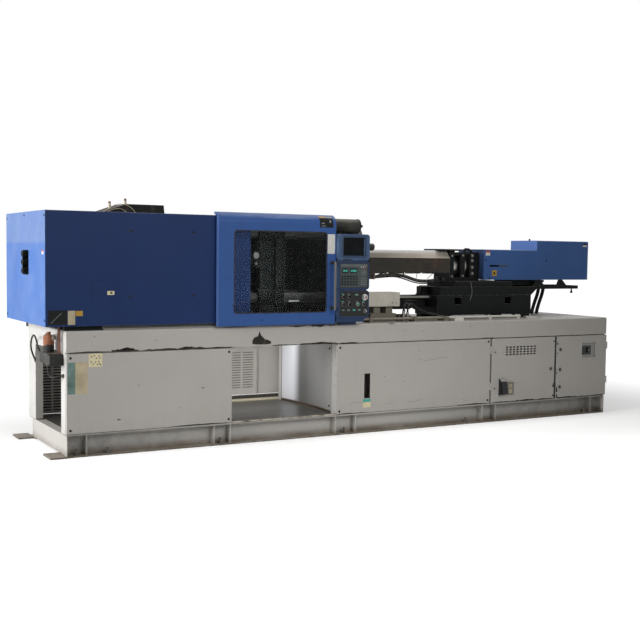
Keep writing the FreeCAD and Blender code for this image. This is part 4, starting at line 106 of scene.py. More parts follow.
class Finish:
    """A node material over the frame's metres. Its colours are laid over each other, the last on top."""

    def __init__(self, name, rough=0.5, metal=0.0, specular=0.5):
        self.material = bpy.data.materials.new(name)
        self.material.use_nodes = True
        self.tree = self.material.node_tree
        self.shader = self.tree.nodes["Principled BSDF"]
        for key, value in (("Roughness", rough), ("Metallic", metal), ("Specular IOR Level", specular)):
            self.shader.inputs[key].default_value = value
        self.place = self.node("ShaderNodeTexCoord")
        self.bump = None

    def node(self, kind, *inputs, **settings):
        """A node; each input is (socket, value or another node's output)."""
        made = self.tree.nodes.new(kind)
        for key, value in settings.items():
            setattr(made, key, value)
        for key, value in inputs:
            self.join(value, made.inputs[key])
        return made

    def join(self, value, socket):
        if isinstance(value, bpy.types.NodeSocket):
            self.tree.links.new(value, socket)
        elif socket.type == "RGBA":
            socket.default_value = (*value, 1.0)
        else:
            socket.default_value = value

    def noise(self, scale, detail=4.0, rough=0.55, stretch=(1, 1, 1), shift=(0, 0, 0)):
        """Noise from 0 to 1."""
        mapping = self.node("ShaderNodeMapping", ("Vector", self.place.outputs["Object"]),
                            ("Scale", stretch), ("Location", shift))
        return self.node("ShaderNodeTexNoise", ("Vector", mapping.outputs["Vector"]), ("Scale", scale),
                         ("Detail", detail), ("Roughness", rough)).outputs["Fac"]

    def math(self, operation, a, b=0.0):
        return self.node("ShaderNodeMath", (0, a), (1, b), operation=operation).outputs[0]

    def both(self, a, b):
        return self.math("MULTIPLY", a, b)

    def span(self, value, low, high, out_low=0.0, out_high=1.0, smooth=False):
        """The value taken from low..high to out_low..out_high, and kept within them."""
        return self.node("ShaderNodeMapRange", ("Value", value), ("From Min", low), ("From Max", high),
                         ("To Min", out_low), ("To Max", out_high), clamp=True,
                         interpolation_type="SMOOTHSTEP" if smooth else "LINEAR").outputs["Result"]

    def axis(self, which, source="Object"):
        """One coordinate of the point, or of the surface's direction with source Normal."""
        return self.node("ShaderNodeSeparateXYZ", ("Vector", self.place.outputs[source])).outputs[which]

    def along(self, which, *limits, smooth=False):
        return self.span(self.axis(which), *limits, smooth=smooth)

    def facing(self, which, *limits):
        return self.span(self.axis(which, "Normal"), *limits)

    def mix(self, share, a, b):
        return self.node("ShaderNodeMix", ("Factor", share), (6, a), (7, b), data_type="RGBA").outputs[2]

    def tone(self, value, colour, depth):
        """The colour, darker and lighter by up to depth as the value goes from 0 to 1."""
        light = tuple(min(1.0, c) for c in shade(colour, 1 + depth))
        return self.mix(self.span(value, 0.3, 0.7), shade(colour, 1 - depth), light)

    def placed(self, body, places, depth=0.14):
        """Other colours by place: each place is (limits, colour), with limits as below() gives them."""
        for limits, colour in places:
            mask = 1.0
            for source, which, *span in limits:
                mask = self.both(mask, self.span(self.axis(which, source), *span))
            there = self.tone(self.noise(10.0, 6.0, 0.65, shift=(1, 4, 2)), colour, depth)
            body = self.mix(mask, body, there)
        return body

    def edge(self, radius):
        """From 0 on flats to 1 at the ridge of a corner."""
        bevel = self.node("ShaderNodeBevel", ("Radius", radius), samples=4)
        plain = self.node("ShaderNodeNewGeometry")
        dot = self.node("ShaderNodeVectorMath", (0, bevel.outputs["Normal"]), (1, plain.outputs["Normal"]),
                        operation="DOT_PRODUCT")
        return self.span(self.math("SUBTRACT", 1.0, dot.outputs["Value"]), 0.004, 0.08)

    def relief(self, height, strength, distance):
        """Bumps, laid over those that are there already."""
        made = self.node("ShaderNodeBump", ("Height", height), ("Strength", strength),
                         ("Distance", distance))
        if self.bump:
            self.join(self.bump, made.inputs["Normal"])
        self.bump = made.outputs["Normal"]

    def done(self, colour, rough=None):
        self.join(colour, self.shader.inputs["Base Color"])
        if rough:
            self.join(rough, self.shader.inputs["Roughness"])
        if self.bump:
            self.join(self.bump, self.shader.inputs["Normal"])
        return self.material


def below(which, value, source="Object", soft=0.001):
    """A place's limit: what lies under the value."""
    return (source, which, value - soft, value + soft, 1.0, 0.0)


def above(which, value, source="Object", soft=0.001):
    """A place's limit: what lies over the value."""
    return (source, which, value - soft, value + soft, 0.0, 1.0)


GREY = (0.400, 0.380, 0.353)
# Painted light: the lighter grey laid on faces towards the left end.
LEFT_LIT_GREY = (0.56, 0.55, 0.53)
DARK = (0.011, 0.012, 0.012)
IRON = (0.0068, 0.0080, 0.0077)
DOOR_BLUE = (0.031, 0.083, 0.255)
GREY_DUST, PALE_DUST, BLUE_DUST = (0.42, 0.40, 0.36), (0.50, 0.48, 0.44), (0.20, 0.24, 0.32)
OLD_OIL, BLUE_STAIN = (0.20, 0.17, 0.13), (0.012, 0.022, 0.050)
UNDERCOAT, BLUE_UNDERCOAT = (0.09, 0.08, 0.07), (0.10, 0.11, 0.13)


def painted_left_light(f, body, colour, beyond):
    """Painted light: what faces the left end is painted lighter, as the lit side. The border argument is
    (axis, low, high, colour) of a border past which the painted light takes another colour.
    """
    lit_patch = f.tone(f.noise(2.3, 4.0, 0.6, shift=(5, 0, 1)), colour, 0.06)
    if beyond:
        *border, colour_there = beyond
        there = f.tone(f.noise(2.3, 4.0, 0.6, shift=(2, 0, 1)), colour_there, 0.05)
        lit_patch = f.mix(f.along(*border), lit_patch, there)
    return f.mix(f.facing("X", -0.9, -0.3, 1.0, 0.0), body, lit_patch)


def splashed(f, body, share):
    """Dirt above the floor rails."""
    low = f.along("Z", 0.18, 0.36, 1.0, 0.0, smooth=True)
    splash = f.both(low, f.span(f.noise(14.0, 6.0, 0.7), 0.35, 0.7))
    return f.mix(f.both(splash, share), body, (0.13, 0.105, 0.08))


def rusty_sole(f, body, share):
    """Grime and rust on what stands on the floor."""
    low = f.along("Z", 0.012, 0.075, 1.0, 0.0, smooth=True)
    grime = f.both(low, f.span(f.noise(7.0, 6.0, 0.7, (0.6, 1, 2)), 0.25, 0.6, 0.35, 1.0))
    body = f.mix(f.both(grime, share), body, (0.155, 0.125, 0.090))
    rust = f.span(f.noise(16.0, 6.0, 0.75, shift=(0, 2, 2)), 0.42, 0.55)
    rust = f.both(f.along("Z", 0.006, 0.010, 1.0, 0.0), rust)
    return f.mix(f.both(rust, share), body, (0.050, 0.035, 0.024))


def dusty(f, body, share, colour):
    """Uneven dust on what faces up."""
    patchy = f.span(f.noise(6.0, 6.0, 0.65, shift=(1, 7, 0)), 0.25, 0.65, 0.45, 1.0)
    return f.mix(f.both(f.both(f.facing("Z", 0.35, 0.95), patchy), share), body, colour)


def bare_edges(f, body, share, colour, radius=0.006):
    """Paint worn off the ridges of corners, here and there."""
    worn = f.span(f.noise(24.0, 5.0, 0.75, shift=(2, 2, 5)), 0.50, 0.60)
    return f.mix(f.both(f.both(f.edge(radius), worn), share), body, colour)


def sprayed(f, body, rough):
    """Fine grain and long waves in the paint, and an uneven gloss."""
    f.relief(f.noise(900.0, 2.0), 0.06, 0.0004)
    f.relief(f.noise(1.6, 2.0, shift=(8, 8, 1)), 0.08, 0.004)
    gloss = f.noise(4.0, 5.0, 0.6, shift=(6, 2, 9))
    return f.done(body, f.span(gloss, 0.3, 0.7, rough - 0.08, rough + 0.12))


def enamel(name, colour, rough=0.45, blotch=0.07, dust=0.25, dust_colour=GREY_DUST, streaks=0.1,
           stain=OLD_OIL, chips=0.0, chip_colour=UNDERCOAT, specular=0.3, floor_dirt=0.0, faded=None,
           beyond=None, sole=0.0, places=()):
    """Machine enamel: uneven colour, run-down dirt, dust on what faces up, worn edges, and, where a colour
    is given for it, painted light on what faces the left end.
    """
    f = Finish(name, rough, 0.0, specular)
    body = f.tone(f.noise(1.1, 5.0, 0.6), colour, blotch)
    spots = f.noise(9.0, 6.0, 0.7, shift=(3, 1, 2))
    body = f.mix(f.span(spots, 0.52, 0.75, 0, blotch * 1.5), body, stain)
    # Painted light: faces towards the left end are painted lighter.
    if faded:
        body = painted_left_light(f, body, faded, beyond)
    body = f.placed(body, places, 0.35)
    if streaks:
        runs = f.noise(3.0, 5.0, 0.65, (9.0, 9.0, 0.7), (0.4, 0.2, 0.1))
        body = f.mix(f.span(runs, 0.56, 0.78, 0, streaks), body, stain)
    if floor_dirt:
        body = splashed(f, body, floor_dirt)
    if sole:
        body = rusty_sole(f, body, sole)
    body = dusty(f, body, dust, dust_colour)
    if chips:
        body = bare_edges(f, body, chips, chip_colour)
    return sprayed(f, body, rough)


def blue_enamel(name, colour, rough, blotch, dust, dust_colour, streaks=0.05, stain=BLUE_STAIN,
                chip_colour=BLUE_UNDERCOAT, specular=0.16, **more):
    """The blue enamel of guards and covers, chipped along its edges."""
    return enamel(name, colour, rough, blotch, dust, dust_colour, streaks, stain, 0.6, chip_colour,
                  specular, **more)


def zones(name, plain, places, rough=0.45, specular=0.2, dust=0.2, dust_colour=GREY_DUST):
    """Plainer enamel for a node that has several colours, each in its place."""
    f = Finish(name, rough, 0.0, specular)
    body = f.tone(f.noise(1.1, 5.0, 0.6), plain, 0.05)
    spots = f.noise(9.0, 6.0, 0.7, shift=(3, 1, 2))
    body = f.mix(f.span(spots, 0.52, 0.75, 0, 0.08), body, shade(plain, 0.5))
    body = dusty(f, f.placed(body, places), dust, dust_colour)
    return sprayed(f, bare_edges(f, body, 0.6, (0.08, 0.07, 0.06), 0.005), rough)


def casting(name, colour, rough, dust, oil, specular, places=()):
    """Rough painted casting with oil and dust."""
    f = Finish(name, rough, 0.0, specular)
    body = f.tone(f.noise(3.0, 6.0, 0.65), colour, 0.22)
    wet = f.span(f.noise(17.0, 6.0, 0.7, shift=(4, 1, 0)), 0.5, 0.72, 0, oil)
    body = f.placed(f.mix(wet, body, shade(colour, 0.35)), places)
    patchy = f.span(f.noise(8.0, 6.0, 0.7, shift=(1, 3, 0)), 0.3, 0.65, 0.35, 1.0)
    lying = f.both(f.facing("Z", 0.3, 0.95), patchy)
    body = f.mix(f.both(lying, dust), body, (0.26, 0.23, 0.18))
    worn = f.both(f.edge(0.004), f.span(f.noise(30.0, 4.0, 0.7), 0.45, 0.6))
    body = f.mix(f.both(worn, 0.6), body, (0.33, 0.31, 0.28))
    f.relief(f.noise(260.0, 4.0, 0.6), 0.25, 0.0008)
    gloss = f.span(f.noise(7.0, 5.0, 0.65, shift=(6, 6, 2)), 0.3, 0.7, rough - 0.15, rough + 0.15)
    return f.done(body, gloss)


def bright(name, colour, rough=0.28, grime=0.25, stretch=(1, 1, 1), metal=1.0):
    """Machined or plated metal with an oil film and fine turning marks."""
    f = Finish(name, rough, metal)
    body = f.tone(f.noise(6.0, 5.0, 0.6), colour, 0.1)
    film = f.span(f.noise(19.0, 6.0, 0.7, shift=(3, 3, 1)), 0.52, 0.72, 0, grime)
    body = f.mix(film, body, (0.09, 0.075, 0.06))
    f.relief(f.noise(500.0, 3.0, 0.6, stretch), 0.12, 0.0003)
    return f.done(body, f.span(f.noise(12.0, 5.0, 0.65), 0.3, 0.7, max(0.05, rough - 0.1), rough + 0.15))


def plastic(name, colour, rough=0.4, dust=0.15, specular=0.4):
    """Moulded plastic with a fine grain, fingermarks and a little dust."""
    f = Finish(name, rough, 0.0, specular)
    body = f.tone(f.noise(14.0, 5.0, 0.6), colour, 0.12)
    body = f.mix(f.span(f.noise(45.0, 5.0, 0.7), 0.5, 0.75, 0, dust), body, (0.30, 0.28, 0.25))
    f.relief(f.noise(1400.0, 2.0), 0.08, 0.0002)
    return f.done(body, f.span(f.noise(25.0, 4.0), 0.3, 0.7, max(0.08, rough - 0.12), rough + 0.12))


def foil(name, colour, rough=0.42, fade=0.12, specular=0.3):
    """Printed foil: an even field, a little washed out and dirty."""
    f = Finish(name, rough, 0.0, specular)
    body = f.tone(f.noise(8.0, 5.0, 0.6), colour, fade)
    body = f.mix(f.span(f.noise(60.0, 5.0, 0.75), 0.5, 0.8, 0, 0.35), body, shade(colour, 0.55))
    f.relief(f.noise(700.0, 2.0), 0.05, 0.0002)
    return f.done(body, f.span(f.noise(30.0, 4.0), 0.3, 0.7, rough - 0.1, rough + 0.14))


def clear_sheet(name, tint, rough=0.03, smear=0.2):
    """Clear sheet, tinted, with wiping smears in its gloss."""
    f = Finish(name, rough, 0.0, 0.12)
    f.shader.inputs["Transmission Weight"].default_value = 1.0
    f.shader.inputs["IOR"].default_value = 1.12
    body = f.tone(f.noise(5.0, 5.0, 0.6), tint, 0.06)
    return f.done(body, f.span(f.noise(9.0, 6.0, 0.7, (1, 1, 2.4)), 0.4, 0.75, rough, rough + smear))


def display():
    """The operator panel's dark screen."""
    f = Finish("screen_glass", 0.16, 0.0, 0.05)
    body = f.tone(f.noise(12.0, 4.0, 0.6), (0.0060, 0.0075, 0.0085), 0.25)
    f.relief(f.noise(60.0, 2.0), 0.03, 0.0003)
    return f.done(body, f.span(f.noise(30.0, 5.0, 0.7), 0.35, 0.75, 0.16, 0.38))


def lining():
    """Bay lining: pale sheet walls with painted reflection and shade across the curved wall, an oily grey
    floor, rusty seams, a worn front lip, and a rear lip with a pale foot under painted shade.
    """
    f = Finish("lining_enamel", 0.3, 0.0, 0.4)
    wall = f.tone(f.noise(1.3, 5.0, 0.6), (0.64, 0.64, 0.64), 0.04)
    runs = f.span(f.noise(3.0, 5.0, 0.65, (9, 9, 0.7)), 0.56, 0.78, 0, 0.1)
    wall = f.mix(runs, wall, (0.25, 0.22, 0.18))
    # Painted reflection and shade on the curved wall: mid grey at its front, dark across its middle, near
    # white towards its rear.
    bend = f.mix(f.along("Y", 0.09, 0.24, smooth=True), (0.120, 0.119, 0.117), (0.70, 0.71, 0.74))
    bend = f.mix(f.along("Y", -0.42, 0.02), (0.44, 0.435, 0.425), bend)
    curved = f.facing("X", -0.6, -0.4, 1.0, 0.0)
    wall = f.mix(curved, wall, bend)
    seam = f.math("MAXIMUM", f.along("Y", 0.401, 0.404), f.along("Z", 0.199, 0.202, 1.0, 0.0))
    wall = f.mix(f.both(seam, curved), wall, (0.075, 0.052, 0.034))
    oil = f.span(f.noise(2.0, 5.0, 0.6, (0.5, 3, 1), (2, 1, 0)), 0.38, 0.62)
    ground = f.mix(oil, (0.100, 0.099, 0.092), (0.048, 0.047, 0.043))
    body = f.mix(f.facing("Z", 0.5, 0.9), wall, ground)
    # Rear lip: pale at its foot, with painted shade (dark) over its face above 0.206 m.
    rear = f.both(f.along("Y", 0.4735, 0.4745), f.along("Z", 0.238, 0.240, 1.0, 0.0))
    body = f.mix(rear, body, f.mix(f.along("Z", 0.198, 0.206), (0.50, 0.455, 0.34), (0.040, 0.036, 0.030)))
    front = f.both(f.along("Y", -0.572, -0.566, 1.0, 0.0), f.along("Z", 0.192, 0.197, 1.0, 0.0))
    worn = f.span(f.noise(11.0, 6.0, 0.75, (0.7, 1, 1)), 0.45, 0.58)
    body = f.mix(front, body, f.mix(worn, (0.47, 0.43, 0.35), (0.060, 0.042, 0.030)))
    rusty = f.span(f.noise(14.0, 5.0, 0.75, shift=(2, 2, 5)), 0.40, 0.52)
    return f.done(f.mix(f.both(f.edge(0.006), rusty), body, (0.070, 0.050, 0.036)))


def lid_plastic():
    """The inlet socket's lid: black plastic whose top is painted pale, with dust together with a painted
    highlight.
    """
    f = Finish("lid_plastic", 0.42, 0.0, 0.2)
    body = f.tone(f.noise(14.0, 5.0, 0.6), (0.016, 0.016, 0.016), 0.15)
    # What faces up is painted pale: dust together with a painted highlight.
    dust = f.both(f.facing("Z", 0.25, 0.55), f.span(f.noise(30.0, 5.0), 0.3, 0.6, 0.75, 1.0))
    f.relief(f.noise(1400.0, 2.0), 0.08, 0.0002)
    return f.done(f.mix(dust, body, (0.34, 0.34, 0.325)), f.span(f.noise(25.0, 4.0), 0.3, 0.7, 0.3, 0.55))


def heat_stained():
    """The barrel guard: dark sheet gone brown with heat and with a pale crust of dust on its slope, which
    turns near white towards the slope's top as a painted highlight.
    """
    f = Finish("guard_sheet", 0.5, 0.2, 0.2)
    body = f.tone(f.noise(5.0, 6.0, 0.65), (0.023, 0.021, 0.016), 0.3)
    burnt = f.span(f.noise(4.0, 6.0, 0.7, shift=(2, 0, 4)), 0.42, 0.62, 0, 0.85)
    body = f.mix(f.both(burnt, f.along("X", 0.55, 0.80)), body, (0.066, 0.036, 0.024))
    crust = f.span(f.noise(5.0, 6.0, 0.7, shift=(1, 5, 0)), 0.3, 0.62, 0.82, 1.0)
    pale = f.mix(f.along("X", 0.30, 1.0), (0.165, 0.148, 0.118), (0.55, 0.49, 0.41))
    # Painted highlight: the crust turns near white towards the top of the slope.
    pale = f.mix(f.along("Z", 1.545, 1.585, smooth=True), pale, (0.66, 0.65, 0.63))
    spots = f.span(f.noise(6.0, 6.0, 0.7, shift=(3, 3, 0)), 0.50, 0.72, 0, 0.4)
    pale = f.mix(spots, pale, (0.17, 0.14, 0.11))
    body = f.mix(f.both(f.facing("Z", 0.3, 0.75), crust), body, pale)
    f.relief(f.noise(120.0, 4.0), 0.2, 0.0006)
    return f.done(body, f.span(f.noise(8.0, 5.0), 0.3, 0.7, 0.35, 0.65))


def copper_bottle():
    """End valve block: dark castings, the filter bottle's upper half in dull copper, rust-brown pipes."""
    f = Finish("valve_casting", 0.5, 0.0, 0.15)
    dark = f.tone(f.noise(9.0, 6.0, 0.65), (0.022, 0.022, 0.021), 0.3)
    copper = f.tone(f.noise(13.0, 6.0, 0.65, shift=(1, 0, 2)), (0.30, 0.125, 0.065), 0.25)
    dull = f.span(f.noise(9.0, 5.0, 0.7, (4, 4, 1)), 0.48, 0.66, 0, 0.75)
    copper = f.mix(dull, copper, (0.11, 0.05, 0.03))
    border = f.span(f.noise(10.0, 5.0, 0.6), 0.3, 0.7, 0.0, 0.06)
    high = f.span(f.math("SUBTRACT", f.axis("Z"), border), 0.800, 0.815)
    body = f.mix(f.both(high, f.along("Y", -0.395, -0.390)), dark, copper)
    pipe = f.both(f.along("Z", 0.777, 0.780), f.along("Y", -0.400, -0.398, 1.0, 0.0))
    rust = f.mix(f.span(f.noise(16.0, 6.0, 0.7), 0.4, 0.6), (0.16, 0.075, 0.05), (0.06, 0.035, 0.03))
    body = f.mix(pipe, body, rust)
    body = f.mix(f.both(f.facing("Z", 0.3, 0.95), 0.35), body, (0.24, 0.20, 0.15))
    f.relief(f.noise(200.0, 4.0), 0.2, 0.0006)
    return f.done(body, f.span(f.noise(12.0, 5.0), 0.3, 0.7, 0.32, 0.62))


def heater_steel():
    """Barrel: mica heater bands over dull steel, brown with heat."""
    f = Finish("heated_steel", 0.4, 0.8, 0.4)
    body = f.tone(f.noise(6.0, 6.0, 0.65), (0.23, 0.19, 0.15), 0.25)
    brown = f.span(f.noise(12.0, 6.0, 0.7, shift=(0, 2, 4)), 0.48, 0.7, 0, 0.7)
    f.relief(f.noise(300.0, 3.0), 0.15, 0.0004)
    return f.done(f.mix(brown, body, (0.08, 0.045, 0.03)), f.span(f.noise(12.0, 5.0), 0.3, 0.7, 0.3, 0.6))


# ---------------------------------------------------------------- finishes that serve several pieces
# Base enamel: faces towards the left end painted lighter, as painted light.
base_grey = enamel("base_enamel", GREY, 0.42, 0.04, 0.30, PALE_DUST, 0.08, chips=0.75, floor_dirt=0.12,
                   faded=LEFT_LIT_GREY)
beam_grey = enamel("beam_enamel", (0.50, 0.48, 0.45), 0.46, 0.05, 0.3, (0.45, 0.42, 0.37), 0.10, chips=0.8,
                   sole=0.6)
# Hood: faces towards the left end painted light blue, and lighter still above 1.6 m as a painted reflection.
hood_blue = blue_enamel("hood_enamel", (0.0078, 0.0240, 0.090), 0.36, 0.10, 0.35, (0.16, 0.19, 0.26),
                        stain=(0.010, 0.020, 0.045), specular=0.14, faded=(0.052, 0.144, 0.425),
                        beyond=("Z", 1.59, 1.61, (0.108, 0.186, 0.415)))
black_paint = enamel("black_enamel", (0.0085, 0.0085, 0.0075), 0.5, 0.2, 0.22, (0.16, 0.135, 0.10), 0.2,
                     specular=0.10)
bare_iron = enamel("bare_iron", (0.026, 0.023, 0.020), 0.6, 0.35, 0.1, streaks=0.3, specular=0.08)
cast_dark = casting("dark_casting", IRON, 0.5, 0.10, 0.5, 0.08)
platen_iron = casting("platen_casting", (0.010, 0.012, 0.012), 0.5, 0.05, 0.45, 0.12)
# Tie bars, ejector and screw: steel with an oil film, darkened well below bare steel as painted shade for
# the shaded mould space.
steel = bright("shaded_oiled_steel", (0.050, 0.049, 0.045), 0.34, 0.5, metal=0.1)
chrome = bright("hard_chrome", (0.70, 0.70, 0.70), 0.12, 0.12)
zinc = bright("oiled_zinc", (0.085, 0.075, 0.062), 0.45, 0.55, metal=0.35)
rubber = plastic("black_rubber", (0.017, 0.0165, 0.016), 0.6, 0.2, 0.15)
seal_rubber = plastic("seal_rubber", (0.010, 0.010, 0.010), 0.6, 0.15, 0.25)
black_plastic = plastic("black_plastic", (0.018, 0.018, 0.019), 0.38, 0.12, 0.2)
dark_screw = plastic("dark_screw", (0.011, 0.011, 0.011), 0.5, 0.08, 0.12)
FOILS = [foil(f"{name}_foil", *look) for name, *look in (
    ("white", (0.60, 0.59, 0.55), 0.45, 0.08), ("cream", (0.62, 0.55, 0.36), 0.45, 0.10),
    ("beige", (0.42, 0.36, 0.24), 0.45, 0.22), ("teal", (0.115, 0.185, 0.165), 0.45, 0.45),
    ("orange", (0.40, 0.235, 0.03), 0.42, 0.15), ("red", (0.45, 0.07, 0.05), 0.42, 0.15),
    ("black", (0.012, 0.0125, 0.013), 0.4, 0.25, 0.08), ("grey", (0.19, 0.20, 0.20), 0.4, 0.15),
    ("glow", (0.05, 0.36, 0.30), 0.35, 0.2), ("slate", (0.105, 0.120, 0.122), 0.38, 0.2, 0.12),
    ("pit", (0.050, 0.060, 0.062), 0.4, 0.2, 0.1))]
WHITE, CREAM, BEIGE, TEAL, ORANGE, RED, BLACK, PALE, GLOW, SLATE, PIT = range(len(FOILS))


# ---------------------------------------------------------------- dressing of the frame's own pieces
def dress(material, *nodes):
    """Gives nodes of the frame their finish."""
    for node in nodes:
        for slot in bpy.data.objects[node].material_slots:
            slot.link = "OBJECT"
            slot.material = material


# base
dress(enamel("rail_enamel", (0.455, 0.440, 0.415), 0.50, 0.07, 0.4, (0.33, 0.29, 0.23), 0.12, chips=0.8,
             sole=0.95, places=[
    # Painted shade: the rail paint is darker towards both ends of the base.
    ([("Object", "X", 0.4, 2.7, 0.0, 1.0)], (0.270, 0.262, 0.243)),
    ([("Object", "X", -2.6, -1.0, 1.0, 0.0)], (0.290, 0.280, 0.258))]), "front_rail", "rear_rail")
dress(beam_grey, "cross_beams")
dress(zinc, "levelling_bolts", "door_lock", "latch_top", "latch_middle", "latch_bottom")
# Deck: faces towards the left end painted lighter, as painted light.
dress(enamel("deck_enamel", GREY, 0.42, 0.05, 0.2, PALE_DUST, 0.08, chips=0.75, faded=LEFT_LIT_GREY, places=[
    ([above("Z", 0.9, "Normal", 0.2), above("Z", 0.93), ("Object", "X", 1.3, 2.25, 1.0, 0.0)],
     (0.205, 0.192, 0.160))]), "bed_deck")
dress(base_grey, "base_posts", "front_panel_left", "front_panel_middle", "rear_panels", "power_pack",
      "cabinet_door_right")
dress(zones("cabinet_enamel", GREY, [
    ([above("X", 2.4435), below("X", 2.5615), above("Z", 0.588), below("Z", 0.678), below("Y", -0.490)],
     (0.013, 0.013, 0.013))], 0.42, 0.3, 0.3, PALE_DUST), "cabinet_shell")
dress(zones("left_door_enamel", GREY, [
    ([below("Y", -0.5995), below("X", 1.4955)], (0.012, 0.012, 0.012)),
    ([below("Y", -0.5935), above("X", 1.4955), below("X", 1.5925), below("Z", 0.40)], (0.36, 0.325, 0.245))],
    0.42, 0.3, 0.3, PALE_DUST), "cabinet_door_left")
dress(lining(), "bay_lining")
dress(clear_sheet("gauge_glass", (0.78, 0.80, 0.72), 0.06, 0.25), "level_gauge")
dress(copper_bottle(), "end_valve_block")
dress(lid_plastic(), "socket_lid")

# clamp unit and guards
dress(platen_iron, "rear_platen", "fixed_platen", "moving_platen")
dress(steel, "tie_bars", "ejector", "screw")
dress(chrome, "main_ram")
dress(hood_blue, "clamp_hood", "clamp_rear_cover")
dress(black_paint, "top_guard")
dress(zones("guard_frame_enamel", DARK, [
    ([below("Z", 0.984), above("X", -2.3825), below("Y", -0.4)], (0.25, 0.245, 0.23)),
    ([above("X", -0.445), below("X", -0.400), below("Y", -0.5), above("Z", 0.984)], (0.014, 0.019, 0.034))],
    specular=0.08, dust=0.05), "guard_frame")
# Door: faces towards the left end painted lighter, as painted light.
dress(blue_enamel("door_enamel", DOOR_BLUE, 0.34, 0.08, 0.4, BLUE_DUST, faded=(0.060, 0.115, 0.290), places=[
    # Painted highlight: a lighter streak along the rolled top edge.
    ([("Object", "Z", 1.822, 1.829, 0.0, 1.0), ("Object", "Z", 1.832, 1.840, 1.0, 0.0),
      ("Object", "X", -1.12, -0.99, 0.0, 1.0), ("Object", "X", -0.74, -0.60, 1.0, 0.0)],
     (0.090, 0.150, 0.330))]), "front_door")
# Painted shade: the rear door's inner faces, seen through the window, are painted dark.
dress(zones("rear_door_enamel", DOOR_BLUE, [([below("Y", -0.3, "Normal", 0.1)], DARK)], specular=0.16,
            dust_colour=BLUE_DUST), "rear_door")
dress(clear_sheet("window_sheet", (0.82, 0.86, 0.86)), "door_window")
dress(bright("grip_metal", (0.060, 0.059, 0.055), 0.40, 0.25, (1, 1, 0.1), 0.0), "door_handle")
dress(enamel("cylinder_enamel", (0.026, 0.027, 0.024), 0.42, 0.15, 0.45, (0.22, 0.20, 0.16), 0.2,
             specular=0.14), "accumulator")

# operator panel
# Panel housing: faces towards the left end painted lighter, as painted light.
dress(blue_enamel("panel_enamel", (0.019, 0.038, 0.092), 0.40, 0.10, 0.25, (0.20, 0.21, 0.24), 0.08,
                  (0.012, 0.014, 0.020), (0.12, 0.13, 0.15), faded=(0.034, 0.062, 0.120), places=[
    ([above("Z", 1.4865), below("X", 0, "Normal", 2.0)], (0.078, 0.130, 0.225))]), "control_housing")
dress(zones("panel_plates", (0.068, 0.080, 0.082), [([below("Z", 1.245)], (0.022, 0.023, 0.022))],
            0.4, 0.12, 0.1), "control_plates")
dress(display(), "monitor_screen")
dress(black_plastic, "breaker_toggle", "selector_top_left", "selector_top_right", "selector_low_left",
      "selector_low_right", "pressure_knob", "key_switch")
dress(plastic("stop_rim", (0.34, 0.33, 0.32), 0.4, specular=0.15), "stop_button")
dress(plastic("green_plastic", (0.030, 0.20, 0.085), 0.32, 0.1), "start_button")

# injection unit
dress(casting("bed_casting", IRON, 0.5, 0.10, 0.5, 0.08, [
    # The front guide bar's upward faces are painted pale grey: bare steel with a painted highlight.
    ([below("X", 0.880), above("Z", 1.10), above("Z", 0.1, "Normal", 0.1)], (0.20, 0.20, 0.185))]),
      "injection_bed")
dress(cast_dark, "carriage", "feed_housing", "drive_unit")
dress(zones("fittings_enamel", (0.165, 0.150, 0.118), [
    ([above("Z", 1.083)], (0.50, 0.468, 0.405)),
    ([below("Y", -0.408), above("X", 0.92)], (0.66, 0.64, 0.59))],
    0.5, 0.25, 0.35, (0.46, 0.42, 0.34)), "deck_fittings")
dress(heater_steel(), "barrel")
dress(heat_stained(), "barrel_guard")
# Cover: faces towards the left end painted lighter, and lighter still right of 1.72 m in the frame, as
# painted light.
dress(blue_enamel("cover_enamel", (0.042, 0.102, 0.275), 0.36, 0.09, 0.7, (0.42, 0.47, 0.55), 0.06,
                  faded=(0.032, 0.060, 0.145), beyond=("X", 1.70, 1.72, (0.115, 0.205, 0.500))),
      "injection_cover")
dress(plastic("conduit_plastic", (0.030, 0.026, 0.022), 0.5, 0.4, 0.2), "barrel_conduit")


# ---------------------------------------------------------------- shapes of the added pieces
def outline(width, height, radius, corners=4):
    """A rounded rectangle from (0, 0) to (width, height), counter-clockwise."""
    radius = min(radius, width / 2, height / 2)
    points = []
    for cx, cy, start in ((width - radius, radius, -90), (width - radius, height - radius, 0),
                          (radius, height - radius, 90), (radius, radius, 180)):
        for i in range(corners + 1):
            angle = math.radians(start + 90 * i / corners)
            points.append((cx + radius * math.cos(angle), cy + radius * math.sin(angle)))
    return points


def settle(made, body):
    """Puts a new piece into the scene, riding on a body."""
    scene.collection.objects.link(made)
    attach(made, body)
    return made


